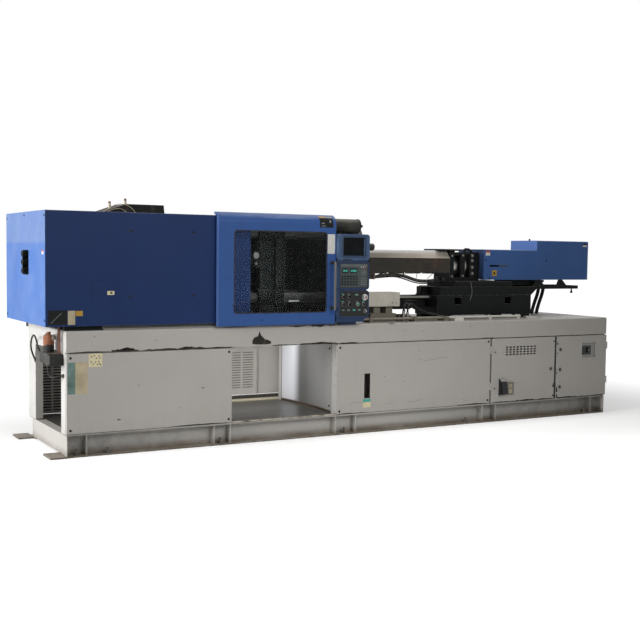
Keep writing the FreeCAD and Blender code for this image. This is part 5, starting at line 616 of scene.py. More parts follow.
class Shape:
    """A mesh in the making: each form adds to it, and place() turns it into a piece."""

    def __init__(self):
        self.mesh = bmesh.new()

    def loft(self, rings, index=0, caps=True):
        """A skin over rings of points, closed at both ends unless caps is off."""
        rings = [[self.mesh.verts.new(at(*point)) for point in points] for points in rings]
        faces = []
        for low, high in zip(rings, rings[1:]):
            for i in range(len(low)):
                j = (i + 1) % len(low)
                faces.append((low[i], low[j], high[j], high[i]))
        if caps:
            faces += [rings[-1], rings[0][::-1]]
        for corners in faces:
            self.mesh.faces.new(corners).material_index = index
        return self

    def prism(self, points, origin, way, thick, edge=0.0, index=0):
        """Raises a flat outline off its plane by thick, with a softened rim of width edge."""
        along, up = way
        out = along.cross(up)
        middle = (sum(p[0] for p in points) / len(points), sum(p[1] for p in points) / len(points))

        def ring(level, shrink):
            made = []
            for u, v in points:
                du, dv = middle[0] - u, middle[1] - v
                share = shrink / (math.hypot(du, dv) or 1.0)
                made.append(Vector(origin) + along * (u + du * share) + up * (v + dv * share) + out * level)
            return made

        rings = [ring(0.0, 0.0), ring(thick - edge, 0.0)]
        if edge:
            rings.append(ring(thick, edge))
        return self.loft(rings, index)

    def plate(self, origin, way, width, height, thick=1.0, radius=3.0, edge=0.4, index=0):
        """A thin rounded rectangle on a face, from its lower left corner."""
        return self.prism(outline(width, height, radius), origin, way, thick, edge, index)

    def turned(self, centre, way, profile, sides=24, index=0):
        """Turns (radius, height) pairs round the face's outward direction."""
        along, up = way
        out = along.cross(up)
        angles = [2 * math.pi * i / sides for i in range(sides)]
        return self.loft([[Vector(centre) + (along * math.cos(a) + up * math.sin(a)) * radius + out * height
                           for a in angles] for radius, height in profile], index)

    def dome(self, centre, way, radius, height, sides=16, dent=0.0, index=0):
        """A screw or rivet head: a low dome on a short rim, with its middle pressed in by dent."""
        profile = ((1.0, 0.0), (1.0, 0.35), (0.92, 0.62), (0.66, 0.9), (0.34, 1.0), (0.28, 1.0 - dent))
        return self.turned(centre, way, [(radius * r, height * h) for r, h in profile], sides, index)

    def ring(self, left, right_end, low, high, y, width, thick, radius, index=0):
        """A flat rounded frame on the face at depth y, round the given opening."""
        inner = [(left + u, low + v) for u, v in outline(right_end - left, high - low, radius, 6)]
        wide = outline(right_end - left + 2 * width, high - low + 2 * width, radius + width, 6)
        outer = [(left - width + u, low - width + v) for u, v in wide]
        levels = ((outer, y), (outer, y - thick * 0.6), (inner, y - thick), (inner, y))
        return self.loft([[(u, depth, v) for u, v in points] for points, depth in levels], index, False)

    def place(self, name, body, material, slot):
        """The finished piece; material may be several, one for each index."""
        bmesh.ops.recalc_face_normals(self.mesh, faces=self.mesh.faces)
        mesh = bpy.data.meshes.new(name)
        self.mesh.to_mesh(mesh)
        self.mesh.free()
        for each in material if isinstance(material, (list, tuple)) else [material]:
            mesh.materials.append(each)
        return settle(bpy.data.objects.new(name, mesh), body)


def fields(name, body, y, entries, thick=0.6, radius=2.0):
    """Colour fields on an upright face at depth y: (left, right, low, high, colour, lift)."""
    shape = Shape()
    for left, right_end, low, high, colour, *lift in entries:
        shape.plate((left, y, low), FRONT, right_end - left, high - low, thick + sum(lift), radius, 0.2,
                    colour)
    return shape.place(name, body, FOILS, "plate_white")


def heads(name, body, y, places, radius=9.0, height=4.0, material=dark_screw):
    """Screw heads, dots or specks on a face at depth y: (x, z) pairs."""
    shape = Shape()
    for x, z in places:
        shape.dome((x, y, z), FRONT, radius, height, 14, 0.5)
    return shape.place(name, body, material, "black_paint")


def ragged(seed, left, right_end, low, height, steps=14):
    """A ragged strip's outline, worn in from its lower edge."""
    points = [(left, low), (right_end, low)]
    for i in range(steps + 1):
        share = 1 - i / steps
        wave = abs(math.sin(seed + 5.1 * i) * math.sin(seed * 1.7 + 2.3 * i))
        points.append((left + (right_end - left) * share, low + 1 + height * (0.15 + 0.85 * wave)
                       * math.sin(math.pi * (0.06 + 0.88 * share)) ** 0.5))
    return points


def patches(name, body, y, outlines, thick=0.35):
    """Marks of bare iron with free outlines (x, z) on the face at depth y."""
    shape = Shape()
    for points in outlines:
        shape.loft([[(x, depth, z) for x, z in points] for depth in (y, y - thick)])
    bmesh.ops.triangulate(shape.mesh, faces=[face for face in shape.mesh.faces if len(face.verts) > 4])
    return shape.place(name, body, bare_iron, "black_paint")


def wire(name, body, points, radius, material, node=None):
    """A lead along route points; with a node given, the frame's piece of that name is hidden, as the lead
    stands in for it.
    """
    curve = bpy.data.curves.new(name, "CURVE")
    curve.dimensions = "3D"
    curve.bevel_depth = radius / 1000
    curve.bevel_resolution = 4
    curve.resolution_u = 8
    curve.use_fill_caps = True
    spline = curve.splines.new("NURBS")
    spline.points.add(len(points) - 1)
    for point, place in zip(spline.points, points):
        point.co = (*at(*place), 1.0)
    spline.order_u = 3
    spline.use_endpoint_u = True
    curve.materials.append(material)
    made = settle(bpy.data.objects.new(name, curve), body)
    if node:
        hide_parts(node)
    return made


# ---------------------------------------------------------------- cords that the frame has too
HOSE_ROUTE = [(0, 0, 1222), (-4, 12, 1150), (-16, 52, 1050), (-26, 72, 950)]
for number, (x, y) in enumerate(((5140, 690), (5212, 700))):
    wire(f"carriage_hose_{number + 1}", "machine", [(x + dx, y + dy, z) for dx, dy, z in HOSE_ROUTE], 18.0,
         rubber, "carriage_hoses")
wire("end_bay_cable", "machine", [(-68, 372, 736), (-72, 500, 760), (-66, 620, 872), (-58, 740, 872),
                                  (-48, 850, 780), (-22, 882, 700), (2, 893, 655)],
     7.0, rubber, node="end_cable")

# ---------------------------------------------------------------- base: labels, screws, wear
fields("panel_labels", "machine", PANEL_FACE, [
    (10, 68, 478, 715, TEAL), (68, 162, 478, 715, BEIGE), (171, 275, 676, 776, CREAM, 0.6),
    (2590, 2668, 272, 296, GLOW), (2590, 2668, 222, 270, CREAM)])
heads("label_dots", "machine", PANEL_FACE - 1.1, [
    (192, 752), (212, 760), (228, 741), (248, 757), (256, 742), (190, 716), (222, 712), (205, 698),
    (246, 716), (238, 694), (254, 700), (262, 690)], 5.0, 0.8)
heads("panel_screws", "machine", PANEL_FACE, [
    (32, 748), (31, 206), (1319, 751), (1319, 209), (2353, 749), (2352, 204), (3950, 752),
    (3950, 210)], 10.0)
heads("curved_wall_screws", "machine", WALL_FACE, [(2319, 735), (2319, 240)], 8.0)
heads("left_door_screws", "left cabinet door", PANEL_FACE, [(4030, 651), (4030, 313)], 7.0, 3.0)
patches("rim_bare_spot", "machine", RIM_FACE, [
    [(1521, 809), (1560, 802), (1640, 800), (1692, 805), (1694, 822), (1664, 838), (1640, 842), (1610, 868),
     (1598, 880), (1589, 911), (1583, 890), (1572, 870), (1540, 860), (1524, 836)]])
patches("rim_chips", "machine", RIM_FACE, [
    ragged(seed, left, right_end, RIM_LOW, height) for seed, left, right_end, height in (
        (1.0, 20, 330, 8), (2.2, 345, 560, 30), (3.1, 600, 880, 12), (4.3, 880, 1110, 24),
        (5.2, 1110, 1350, 9), (0.4, 1700, 1960, 10), (1.9, 1960, 2330, 22), (2.7, 2340, 2520, 9),
        (3.9, 3860, 4010, 5))])
patches("rim_top_chips", "machine", RIM_FACE, [
    [(u, 2 * RIM_TOP - v) for u, v in ragged(seed, left, right_end, RIM_TOP, height)][::-1]
    for seed, left, right_end, height in (
        (1.4, 1860, 2010, 12), (2.9, 2060, 2190, 16), (4.4, 2230, 2300, 12), (0.7, 2840, 2900, 8))])
heads("rim_specks", "machine", RIM_FACE, [(214, 905), (700, 860), (3010, 882), (3730, 896), (3200, 870)],
      4.0, 0.5)
patches("panel_dents", "machine", PANEL_FACE, [
    ragged(1.2, 1085, 1105, 470, 16, 5), ragged(2.8, 390, 420, 262, 12, 5),
    ragged(0.9, 820, 1310, PANEL_FOOT, 9), ragged(4.1, 2340, 2620, PANEL_FOOT, 6),
    ragged(2.0, 3600, 3950, PANEL_FOOT, 10)])
heads("panel_specks", "machine", PANEL_FACE, [
    (3006, 430), (2807, 484), (3175, 695), (560, 520), (900, 330)], 3.5, 0.5)


def scratch(name, body, points, radius):
    """A pale scratch in a panel's or a door's paint, through (x, z) points."""
    wire(name, body, [(x, PANEL_FACE + 0.3, z) for x, z in points], radius, FOILS[PALE])


for number, points in enumerate((
        ((2459, 262), (2500, 276), (2560, 272), (2620, 268)), ((2825, 242), (2855, 248), (2884, 245)),
        ((3048, 247), (3124, 244), (3180, 250), (3216, 267)), ((3157, 610), (3180, 616), (3207, 618)),
        ((3218, 601), (3300, 612), (3400, 622), (3487, 628)), ((3645, 234), (3690, 228), (3721, 214)))):
    scratch(f"panel_scratch_{number + 1}", "machine", points, 1.5)
scratch("lid_scratch", "left cabinet door", ((4262, 352), (4300, 358), (4330, 352)), 1.2)
Shape().plate((4757, 14, 182), FRONT, 26, 594, 4.0, 1.0, 0.5).place(
    "door_gap_seal", "machine", seal_rubber, "rubber_black")

rail_ends = Shape()
for x in (8.4, 5418.0):
    rail_ends.plate((x, 98, 11.2), LEFT, 94, 152.6, 5.0, 2, 0.8)
rail_ends.place("rail_end_plates", "machine", beam_grey, "rail_grey")
nuts = Shape()
for x, size in ((5120, 1.0), (5262, 1.1), (5382, 0.9), (330, 1.15)):
    nuts.turned((x, 46, 11), TOP, [
        (20 * size, 0), (20 * size, 3), (16 * size, 3.5), (16 * size, 16 * size), (14 * size, 18 * size),
        (9, 18 * size), (9, 36 * size), (7, 38 * size)], 6)
nuts.place("floor_nuts", "machine", zinc, "zinc")


# ---------------------------------------------------------------- electrical cabinet
def outlet():
    """Twin outlet with its screw on the left door."""
    shape = Shape().plate((4172.5, -2, 243.5), FRONT, 83, 123, 2.5, 5, 1.0)
    for low in (266, 312):
        shape.plate((4196, -4.5, low), FRONT, 36, 34, 1.5, 9, 0.5, 1)
        for x in (4204, 4219):
            shape.plate((x, -6.0, low + 9), FRONT, 4, 13, 0.3, 1, 0.1, 2)
    shape.dome((4214, -4.5, 306), FRONT, 3.5, 1.5, 12, 0.5, 2)
    shape.place("outlet_face", "left cabinet door", (
        plastic("outlet_plate", (0.175, 0.160, 0.130), 0.4), plastic("outlet_face", (0.42, 0.37, 0.24), 0.4),
        black_plastic), "beige")


def rust(kind, side, strips, steps=14):
    """Rust along the edges of one cabinet door."""
    patches(f"{kind}_rust_{side}", f"{side} cabinet door", PANEL_FACE,
            [ragged(*strip, steps) for strip in strips])


outlet()
fields("breaker_label", "machine", 8, [(5203, 5216, 622, 640, PALE)], 0.8)
Shape().ring(5112.5, 5231.5, 588.5, 677.5, 14, 70, 3, 2).place(
    "breaker_surround", "machine", foil("surround_sheet", (0.30, 0.30, 0.285), 0.5), "base_grey")
rust("gap", "left", ((1.1, 4735, 4756, 728, 24), (3.3, 4740, 4756, 290, 55), (0.3, 4738, 4756, 200, 30)), 6)
rust("gap", "right", ((2.3, 4785, 4806, 700, 40), (0.6, 4785, 4803, 612, 20), (1.8, 4785, 4804, 238, 80),
                      (2.6, 4785, 4796, 415, 30), (3.9, 4785, 4806, 188, 40)), 6)
rust("foot", "left", ((0.9, 3990, 4240, PANEL_FOOT, 9), (2.4, 4240, 4560, PANEL_FOOT, 14),
                      (4.0, 4560, 4750, PANEL_FOOT, 10)))
rust("foot", "right", ((1.7, 4790, 5060, PANEL_FOOT, 14), (3.2, 5060, 5430, PANEL_FOOT, 8)))

# ---------------------------------------------------------------- clamp hood and top guard
fields("hood_labels", "machine", RIM_FACE, [
    (-133, 7, 997, 1104, BLACK), (13, 67, 996, 1100, BEIGE), (70, 125, 1060, 1098, ORANGE),
    (312, 367, 1215, 1244, CREAM)])
Shape().prism([(0, 0), (78, 74), (76, 77), (-2, 3)], (-112, -0.6, 1008), FRONT, 0.3, 0.0, PALE).place(
    "placard_bar", "machine", FOILS, "plate_white")
heads("hood_screws", "machine", RIM_FACE, [(494, 1696), (1007, 1697), (493, 1203), (1007, 1206)], 10.0)
heads("lock_face", "machine", RIM_FACE - 0.6, [(343, 1230)], 8.0, 2.5)
wire("access_outline", "machine", [
    (x, RIM_FACE - 0.1, z) for x, z in ((198, 1180), (198, 1250), (198, 1318), (206, 1325), (280, 1326),
                                        (367, 1325))], 0.9, FOILS[BLACK])
end_label = Shape().plate((HOOD_END, 97, 1513), LEFT, 55, 33, 0.6, 2, 0.2, WHITE)
end_label.plate((HOOD_END - 0.6, 97, 1535), LEFT, 55, 11, 0.3, 1, 0.1, RED)
end_label.place("hood_end_label", "machine", FOILS, "plate_white")
end_screws = Shape()
for y, z in ((24, 1798), (1160, 1798), (24, 1030), (1160, 1020), (600, 1810)):
    end_screws.dome((HOOD_END, y, z), LEFT, 9.0, 4.0, 14, 0.5)
end_screws.place("hood_end_screws", "machine", dark_screw, "black_paint")

sleeves = Shape()
for x, low, high in ((462, 1871, 1934), (590, 1915, 1960)):
    sleeves.turned((x, 402, low), TOP, [(11.5, 0), (11.5, 9), (10.4, 11), (10.4, high - low - 16)], 16)
    sleeves.turned((x, 402, high - 16), TOP, [(9.6, 0), (11.0, 1), (11.0, 9), (8.6, 14), (6.6, 15.5)], 6, 1)
sleeves.place("breather_sleeves", "machine", (
    bright("sleeve_metal", (0.40, 0.36, 0.29), 0.45, 0.4, metal=0.2),
    enamel("cap_rust", (0.135, 0.052, 0.032), 0.5, 0.2, 0.2)), "zinc")
for number, route in enumerate((
        [(392, 376, 1842), (400, 374, 1852), (440, 374, 1868), (475, 374, 1896), (520, 374, 1914),
         (573, 374, 1913), (612, 374, 1900), (650, 375, 1872), (668, 376, 1848)],
        [(430, 377, 1846), (452, 375, 1862), (520, 375, 1880), (560, 375, 1876), (590, 376, 1852)])):
    wire(f"guard_pipe_{number + 1}", "machine", route, 2.6, FOILS[BEIGE])

# ---------------------------------------------------------------- sliding guard door
Shape().ring(1334, 2170, 1066, 1715, DOOR_FACE, 9, 2.2, 20).place(
    "window_gasket", "front guard door", seal_rubber, "rubber_black")
fields("door_label", "front guard door", DOOR_FACE, [(2174, 2250, 1545, 1706, WHITE)], 0.6, 5)
heads("door_dots", "front guard door", DOOR_FACE, [(1578, 1004)], 6.0, 1.5)
heads("window_dot", "front guard door", DOOR_FACE, [(1322, 1126)], 6.0, 1.5)
ROLL_RADIUS, ROLL_START = 80.0, 1786.0       # the door's rolled top edge


def bent_plate(shape, left, right_end, low, high, lift, index):
    """A thin sheet that follows the door's face and its rolled top."""
    rows = []
    for i in range(9):
        z = low + (high - low) * i / 8
        bend = max(0.0, min(ROLL_RADIUS, z - ROLL_START))
        reach = math.sqrt(ROLL_RADIUS ** 2 - bend ** 2)
        foot = Vector((0, DOOR_FACE + ROLL_RADIUS - reach, z))
        top = foot + Vector((0, -reach, bend)).normalized() * lift
        rows.append([foot + X * left, foot + X * right_end, top + X * right_end, top + X * left])
    shape.loft(rows, index)


placard = Shape()
for measures in ((2104, 2232, 1761, 1838, 0.6, BLACK), (2104, 2166, 1840, 1852, 0.6, ORANGE),
                 (2168, 2232, 1840, 1852, 0.6, PALE), (2122, 2148, 1790, 1800, 1.0, PALE),
                 (2196, 2212, 1800, 1822, 1.0, PALE), (2120, 2160, 1770, 1776, 1.0, PALE)):
    bent_plate(placard, *measures)
placard.place("door_placard", "front guard door", FOILS, "plate_white")
collars = Shape()
for z in (1092, 1470):
    collars.turned((2220, DOOR_FACE, z), FRONT, [
        (15, 0), (15, 8), (12.5, 12), (12.5, 50), (15, 53), (15, 58)], 20)
collars.place("grip_collars", "front guard door", black_plastic, "black_plastic")

# ---------------------------------------------------------------- operator panel
KEY_SWITCH = (2536, 1064)
SWITCHES = ((2321, 1187), (2379, 1187), (2321, 1123), (2381, 1123), (2459, 1123), (2518, 1123), KEY_SWITCH)
STOP_X, STOP_Z = 2527, 1182


def key_fields():
    """The keys, lamps and displays of the upper plate."""
    drawing = [(2283, 2548, 1440, 1458, SLATE), (2290, 2462, 1374, 1434, PIT), (2290, 2462, 1280, 1370, PIT),
               (2306, 2358, 1386, 1424, BLACK, 0.2), (2380, 2446, 1386, 1424, BLACK, 0.2)]
    drawing += [(left, right_end, 1396, 1413, GLOW, 0.4)
                for left, right_end in ((2312, 2330), (2334, 2352), (2386, 2404), (2408, 2440))]
    drawing += [(2294 + 28 * i, 2312 + 28 * i, z - 6, z + 5, BLACK, 0.8)
                for z in (1357, 1338, 1312, 1291) for i in range(6)]
    drawing += [(2486 + 22 * i, 2504 + 22 * i, z, z + 12, SLATE, 0.8)
                for i in range(3) for z in (1284, 1301, 1318, 1335)]
    drawing += [(2484, 2494, 1432, 1438, WHITE, 0.2), (2504, 2514, 1432, 1438, WHITE, 0.2),
                (2522, 2534, 1430, 1440, RED, 0.4)]
    fields("key_fields", "machine", PLATE_FACE, drawing, 0.5, 1.5)


def switch_fields():
    """The marks beside the switches of the lower plate."""
    spots = [(2296, 2318, 1208, 1214), (2356, 2380, 1208, 1214), (2432, 2462, 1196, 1210),
             (2298, 2320, 1146, 1151), (2360, 2382, 1146, 1151), (2440, 2462, 1142, 1147),
             (2500, 2524, 1142, 1147)]
    spots += [(x - 13, x + 13, 1069, 1080) for x in (2316, 2369, 2423, 2475)]
    fields("switch_fields", "machine", PLATE_FACE,
           [(*spot, TEAL if number % 3 else GLOW) for number, spot in enumerate(spots)], 0.5, 1.5)


key_fields()
Shape().turned((2513, PLATE_FACE, 1389), FRONT, [
    (24, 0), (24, 0.8), (17, 1.2), (16, 0.9), (8, 1.0), (7, 1.6)], 28, SLATE).place(
    "key_dial", "machine", FOILS, "plate_white")
switch_fields()
Shape().ring(2306, 2521, 1528, 1684, HOUSING_FACE, 14, 5, 12).place(
    "monitor_bezel", "machine", enamel("bezel_enamel", (0.031, 0.050, 0.092), 0.38, 0.08, 0.2,
                                       (0.12, 0.13, 0.15), 0.0, specular=0.15), "panel_blue")
Shape().plate((2306, HOUSING_FACE, 1492), FRONT, 97, 8, 1.0, 2, 0.3).place(
    "monitor_slot", "machine", seal_rubber, "black_plastic")
rims = Shape()
for low, high in ((1264, 1465), (1024, 1231)):
    rims.ring(2283, 2551, low + 2, high - 2, HOUSING_FACE, 4, 1.6, 10)
rims.place("panel_rims", "machine", black_plastic, "black_plastic")
Shape().turned((STOP_X, PLATE_FACE, STOP_Z), FRONT, [(26, 0), (26, 3), (21.5, 3.4), (21.5, 0)], 28).place(
    "stop_ring", "machine", chrome, "chromed")
stop = Shape().turned((STOP_X, PLATE_FACE - 16, STOP_Z), FRONT, [
    (18.8, 0), (19.6, 0.6), (19.6, 4.4), (17.0, 6.8), (9.4, 7.4), (8.8, 6.6)], 28)
stop.dome((STOP_X, PLATE_FACE - 22.6, STOP_Z), FRONT, 8.6, 1.6, 16, 0.0, 1)
stop.place("stop_cap", "stop push button", (
    foil("stop_ring_foil", (0.42, 0.41, 0.40), 0.35, 0.15),
    plastic("stop_middle", (0.16, 0.012, 0.016), 0.35)), "red_plastic")
heads("key_mark", "key lock switch", PLATE_FACE - 12.3, [KEY_SWITCH], 4.5, 0.8, chrome)
collars = Shape()
for x, z in SWITCHES:
    collars.turned((x, PLATE_FACE, z), FRONT, [(17.5, 0), (17.5, 1.4), (15.6, 2.0), (15.6, 0.2)], 24)
collars.place("switch_collars", "machine", bright("dull_tube", (0.24, 0.235, 0.22), 0.5, 0.5, metal=0.55),
              "zinc")

# ---------------------------------------------------------------- injection cover and feed housing
fields("cover_labels", "injection carriage", COVER_FACE, [
    (4176, 4230, 1546, 1576, WHITE), (4176, 4230, 1578, 1594, RED), (5422, 5474, 1648, 1665, WHITE),
    (5422, 5474, 1667, 1681, BLACK), (4256, 4314, 1351, 1407, ORANGE), (4276, 4294, 1366, 1390, BLACK, 0.3)])
heads("cover_screws", "injection carriage", COVER_FACE, [(4176, 1506), (4940, 1504), (4228, 1329)], 9.0)
Shape().plate((4340, 363.5, 1441), FRONT, 118, 15, 1.0, 1, 0.2).place(
    "cover_scale", "injection carriage", foil("scale_foil", (0.030, 0.050, 0.085)), "steel")
Shape().turned((4889, AXIS_Y, 1702), TOP, [(11, 0), (11, 3), (7, 5), (7, 10), (9, 11), (9, 16), (5, 19)],
               18).place("cover_nub", "injection carriage", dark_screw, "black_paint")
bolts = Shape()
for x, z in ((4066, 1544), (4066, 1496), (4067, 1433), (4069, 1374)):
    bolts.turned((x, FEED_FACE, z), FRONT, [(17, 0), (17, 2), (13, 2.4), (13, 11), (11, 12.5)], 6)
for x, z in ((3829, 1540), (3829, 1345), (3957, 1545), (3957, 1350)):
    bolts.turned((x, FEED_FACE, z), FRONT, [(12, 0), (12, 1.5), (9, 2), (9, 8), (8, 9)], 6)
bolts.place("housing_bolts", "injection carriage",
            bright("bolt_steel", (0.16, 0.155, 0.145), 0.3, 0.5, metal=0.6), "steel")
bands = Shape()
for x, width in ((3856, 63), (3988, 43)):
    bands.turned((x, AXIS_Y, AXIS_Z), RIGHT, [(92.5, 0), (94.5, 3), (94.5, width - 3), (92.5, width)], 48)
bands.place("boss_bands", "injection carriage",
            bright("worn_band", (0.34, 0.33, 0.31), 0.32, 0.6, (1, 8, 8)), "steel")

# ---------------------------------------------------------------- leads under the barrel guard
wire("side_wire", "injection carriage", [(3950, 298, 1296), (3956, 296, 1284), (3969, 296, 1230),
                                         (3970, 296, 1180), (3955, 296, 1140), (3946, 297, 1122)],
     2.4, FOILS[PALE])
for number, route in enumerate((
        [(2970, 436, 1345), (3080, 437, 1392), (3140, 436, 1374), (3230, 434, 1362), (3330, 434, 1322),
         (3430, 434, 1300), (3560, 434, 1292), (3668, 436, 1296)],
        [(2970, 470, 1328), (3100, 466, 1340), (3200, 440, 1344), (3300, 430, 1318), (3400, 430, 1286),
         (3500, 431, 1278), (3600, 432, 1284), (3668, 438, 1306)])):
    wire(f"heater_lead_{number + 1}", "injection carriage", route, 5.5, rubber)
for number, (x, lean) in enumerate(((3434, -14), (3623, -74), (3300, -6))):
    wire(f"guard_wire_{number + 1}", "injection carriage",
         [(x, 436, 1384), (x + lean * 0.3, 435, 1362), (x + lean, 435, 1322)], 2.6, rubber)
clips = Shape()
for left, width, low, height in ((3640, 18, 1302, 44), (3706, 30, 1304, 30), (3560, 12, 1290, 22)):
    clips.plate((left, 432, low), FRONT, width, height, 14, 4, 1.5)
clips.place("lead_clips", "injection carriage", black_plastic, "black_plastic")

# ---------------------------------------------------------------- drive tray, hopper neck and accumulator
Shape().prism([(0, 0), (300, 0), (318, 22), (425, 22), (425, 46), (0, 46)], (4562, 700, 1264), FRONT, 262,
              4).place("drive_tray", "injection carriage", cast_dark, "cast_iron")
neck = Shape()
for x in (3905, 3776):
    neck.plate((x, 486, 1588), TOP, 44, 148, 14, 3, 1)
neck.place("hopper_neck", "injection carriage", cast_dark, "cast_iron")
rings = Shape().turned((2584, 144, 1786), RIGHT, [(58.2, 0), (60.5, 2), (60.5, 12), (58.2, 14)], 48)
rings.turned((2612, 144, 1786), RIGHT, [(12.2, 0), (18, 1), (18, 14), (12.2, 15)], 6)
rings.place("accumulator_ring", "machine", dark_screw, "black_paint")

# ---------------------------------------------------------------- fittings on the deck and at the left end
elbows = Shape()
for x, y, top in ((3106, 168, 1040), (3128, 196, 1052), (3152, 172, 1030)):
    elbows.turned((x, y, 950), TOP, [(16, 0), (16, 10), (11, 11), (11, top - 975), (15, top - 974),
                                     (15, top - 956), (11, top - 955), (11, top - 950)], 12)
elbows.place("deck_elbows", "machine", bright("elbow_plate", (0.24, 0.235, 0.22), 0.35, 0.6, metal=0.5),
             "zinc")
for number, (x, y, z) in enumerate(((3106, 168, 1034), (3128, 196, 1038), (3152, 172, 1030))):
    wire(f"deck_hose_{number + 1}", "machine",
         [(x, y, z), (x + 3, y + 2, z + 58), (x + 60, y + 34, z + 78), (x + 150, y + 74, z + 30),
          (x + 330, y + 118, z - 34), (x + 440, y + 128, z - 38)], 9.0, rubber)
wire("block_hose", "machine", [(-56, 300, 700), (-56, 298, 630), (-60, 230, 592), (-62, 140, 592),
                               (-56, 78, 606), (-2, 64, 612)], 7.0, rubber)
unions = Shape().turned((-56, 300, 668), TOP, [(12, 0), (16, 2), (16, 22), (12, 24)], 6)
unions.turned((-1, 64, 612), LEFT, [(17, 0), (17, 10), (12, 11), (12, 20)], 6)
unions.turned((-57, 120, 880), TOP, [(16, 0), (18, 2), (18, 20), (12, 22), (12, 40)], 6)
unions.turned((-57, 330, 880), TOP, [(14, 0), (15, 2), (15, 14), (9, 16), (9, 34)], 6)
unions.place("block_unions", "machine", zinc, "zinc")
heads("junction_screws", "machine", BOX_FACE, [(2973, 1116), (3013, 1116)], 5.0, 2.0)

# ---------------------------------------------------------------- mould space, rear guard and seat cylinder
gauge = Shape().plate((1622, 214, 1424), FRONT, 78, 134, 5, 4, 1.0)
gauge.turned((1648, 209, 1522), FRONT, [(26, 0), (26, 12), (23, 15), (22, 11), (21, 11.2)], 28, 1)
gauge.turned((1649, 209, 1455), FRONT, [(10, 0), (10, 8), (7, 10)], 16, 1)
gauge.place("clamp_gauge", "clamp", (
    black_paint, bright("gauge_rim", (0.20, 0.20, 0.19), 0.4, 0.4, metal=0.0)), "black_paint")
# A thin strip of pale steel in the mould space, standing in for a highlight along the lower tie bar: painted
# highlight.
strip = Shape().plate((1984, 252, 1133), FRONT, 100, 14, 2.0, 4, 0.6)
for x in (1994, 2074):
    strip.dome((x, 250, 1140), FRONT, 3.5, 1.0, 10, 0.5)
strip.place("guide_scale", "machine", bright("highlight_steel", (0.62, 0.61, 0.58), 0.3, 0.15, metal=0.3),
            "steel")
lap = Shape().plate((2672, 1172.5, 951), FRONT, 230, 110, 2.0, 3, 0.5)
lap.plate((2900, 1172.0, 951), LEFT, 14, 110, 1.5, 2, 0.3)
lap.place("rear_guard_lap", "machine", black_paint, "black_paint")
head = Shape().prism([(0, 0), (168, 0), (178, 12), (336, 12), (336, 82), (0, 82)], (3200, 674, 1040), FRONT,
                     228, 5)
for x in (3214, 3376):
    for z in (1056, 1108):
        head.turned((x, 446, z), FRONT, [(11, 0), (11, 1), (8, 1.4), (8, 7), (7, 8)], 6)
head.turned((3200, AXIS_Y, 1082), LEFT, [
    (34, 0), (36, 3), (36, 26), (30, 32), (20, 32), (20, 60), (16, 64)], 24)
head.place("seat_cylinder_head", "injection carriage", cast_dark, "cast_iron")

# ---------------------------------------------------------------- dust mats in the louvres
Shape().plate((104, LOUVRE_FACE, 196), FRONT, 184, 578, 0.8, 2, 0.2).place(
    "end_dust_mat", "machine", seal_rubber, "black_paint")
Shape().plate((1848, LOUVRE_FACE, 296), FRONT, 222, 350, 0.8, 2, 0.2).place(
    "bay_dust_mat", "machine", foil("dust_mat", (0.165, 0.145, 0.128), 0.8), "rail_grey")


# ---------------------------------------------------------------- background, floor and lamps
def seen_ray(tree):
    """1 for rays from the camera, from gloss and through glass, which find the background white."""
    path = tree.nodes.new("ShaderNodeLightPath")
    seen = path.outputs["Is Camera Ray"]
    for kind in ("Is Glossy Ray", "Is Transmission Ray"):
        either = tree.nodes.new("ShaderNodeMath")
        either.operation = "MAXIMUM"
        tree.links.new(seen, either.inputs[0])
        tree.links.new(path.outputs[kind], either.inputs[1])
        seen = either.outputs[0]
    return seen


def studio():
    """A white background that gives the machine only a little light."""
    world = bpy.data.worlds.new("studio")
    scene.world = world
    world.use_nodes = True
    tree = world.node_tree
    background = tree.nodes["Background"]
    background.inputs["Color"].default_value = (1, 1, 1, 1)
    strength = tree.nodes.new("ShaderNodeMapRange")
    strength.inputs["To Min"].default_value = 0.11
    strength.inputs["To Max"].default_value = 1.0
    tree.links.new(seen_ray(tree), strength.inputs["Value"])
    tree.links.new(strength.outputs["Result"], background.inputs["Strength"])


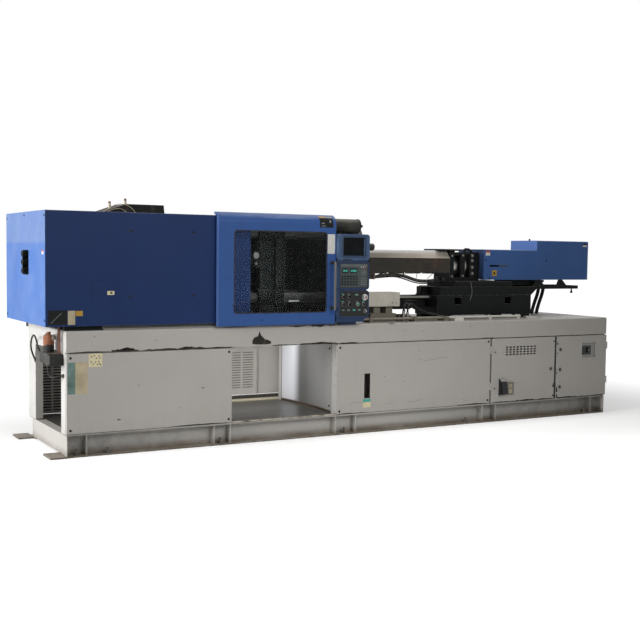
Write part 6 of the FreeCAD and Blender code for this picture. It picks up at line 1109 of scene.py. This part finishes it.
def floor_finish():
    """A pale floor that keeps the machine's shadow and turns white away from it."""
    f = Finish("floor_finish", 0.9, 0.0, 0.0)
    out_x = f.math("SUBTRACT", f.math("ABSOLUTE", f.axis("X")), 2.8)
    out_y = f.math("SUBTRACT", f.math("ABSOLUTE", f.axis("Y")), 0.6)
    glow = f.span(f.math("MAXIMUM", out_x, out_y), 0.4, 3.2, 0.42, 1.0, smooth=True)
    f.join(f.both(seen_ray(f.tree), glow), f.shader.inputs["Emission Strength"])
    f.shader.inputs["Emission Color"].default_value = (1, 1, 1, 1)
    return f.done(f.tone(f.noise(0.4, 3.0), (0.80, 0.80, 0.79), 0.01))


def lay_floor(size):
    """The floor that the machine stands on, part of the stage."""
    grid = bmesh.new()
    bmesh.ops.create_grid(grid, x_segments=2, y_segments=2, size=size)
    mesh = bpy.data.meshes.new("floor")
    grid.to_mesh(mesh)
    grid.free()
    mesh.materials.append(floor_finish())
    floor = bpy.data.objects.new("floor", mesh)
    scene.collection.objects.link(floor)
    floor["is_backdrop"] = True


def lamp(name, place, target, width, height, power, spread=180.0, seen=True):
    """A flat lamp of width by height metres that looks at the target."""
    data = bpy.data.lights.new(name, "AREA")
    data.shape = "RECTANGLE"
    data.size, data.size_y, data.energy = width, height, power
    data.spread = math.radians(spread)
    made = bpy.data.objects.new(name, data)
    scene.collection.objects.link(made)
    made.location = at(*place)
    made.rotation_euler = (at(*target) - at(*place)).to_track_quat("-Z", "Y").to_euler()
    made.visible_camera = seen


studio()
lay_floor(40.0)
lamp("key", (-7600, -500, 3200), (0, 500, 1000), 4.0, 3.5, 860.0)
lamp("front", (700, -6500, 4200), (1300, 0, 800), 3.5, 3.0, 15.0, 95.0)
lamp("middle", (2500, -6500, 3800), (2300, 0, 800), 3.0, 2.5, 26.0, 60.0)
lamp("top", (4300, 300, 5200), (4300, 300, 0), 3.0, 2.0, 60.0)
lamp("top_left", (900, 300, 5200), (900, 300, 0), 3.0, 2.0, 30.0)
lamp("bay_left", (1390, 320, 500), (2330, 900, 480), 0.3, 0.45, 2.6, 100.0, seen=False)
lamp("bay_top", (1900, 640, 900), (1950, 1096, 380), 0.7, 0.3, 3.2, seen=False)
lamp("end_bay", (150, 140, 520), (170, 1096, 460), 0.12, 0.4, 0.5, seen=False)

size = {"cad": [list(v) for v in cad_box], "visual": [list(v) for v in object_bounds()]}
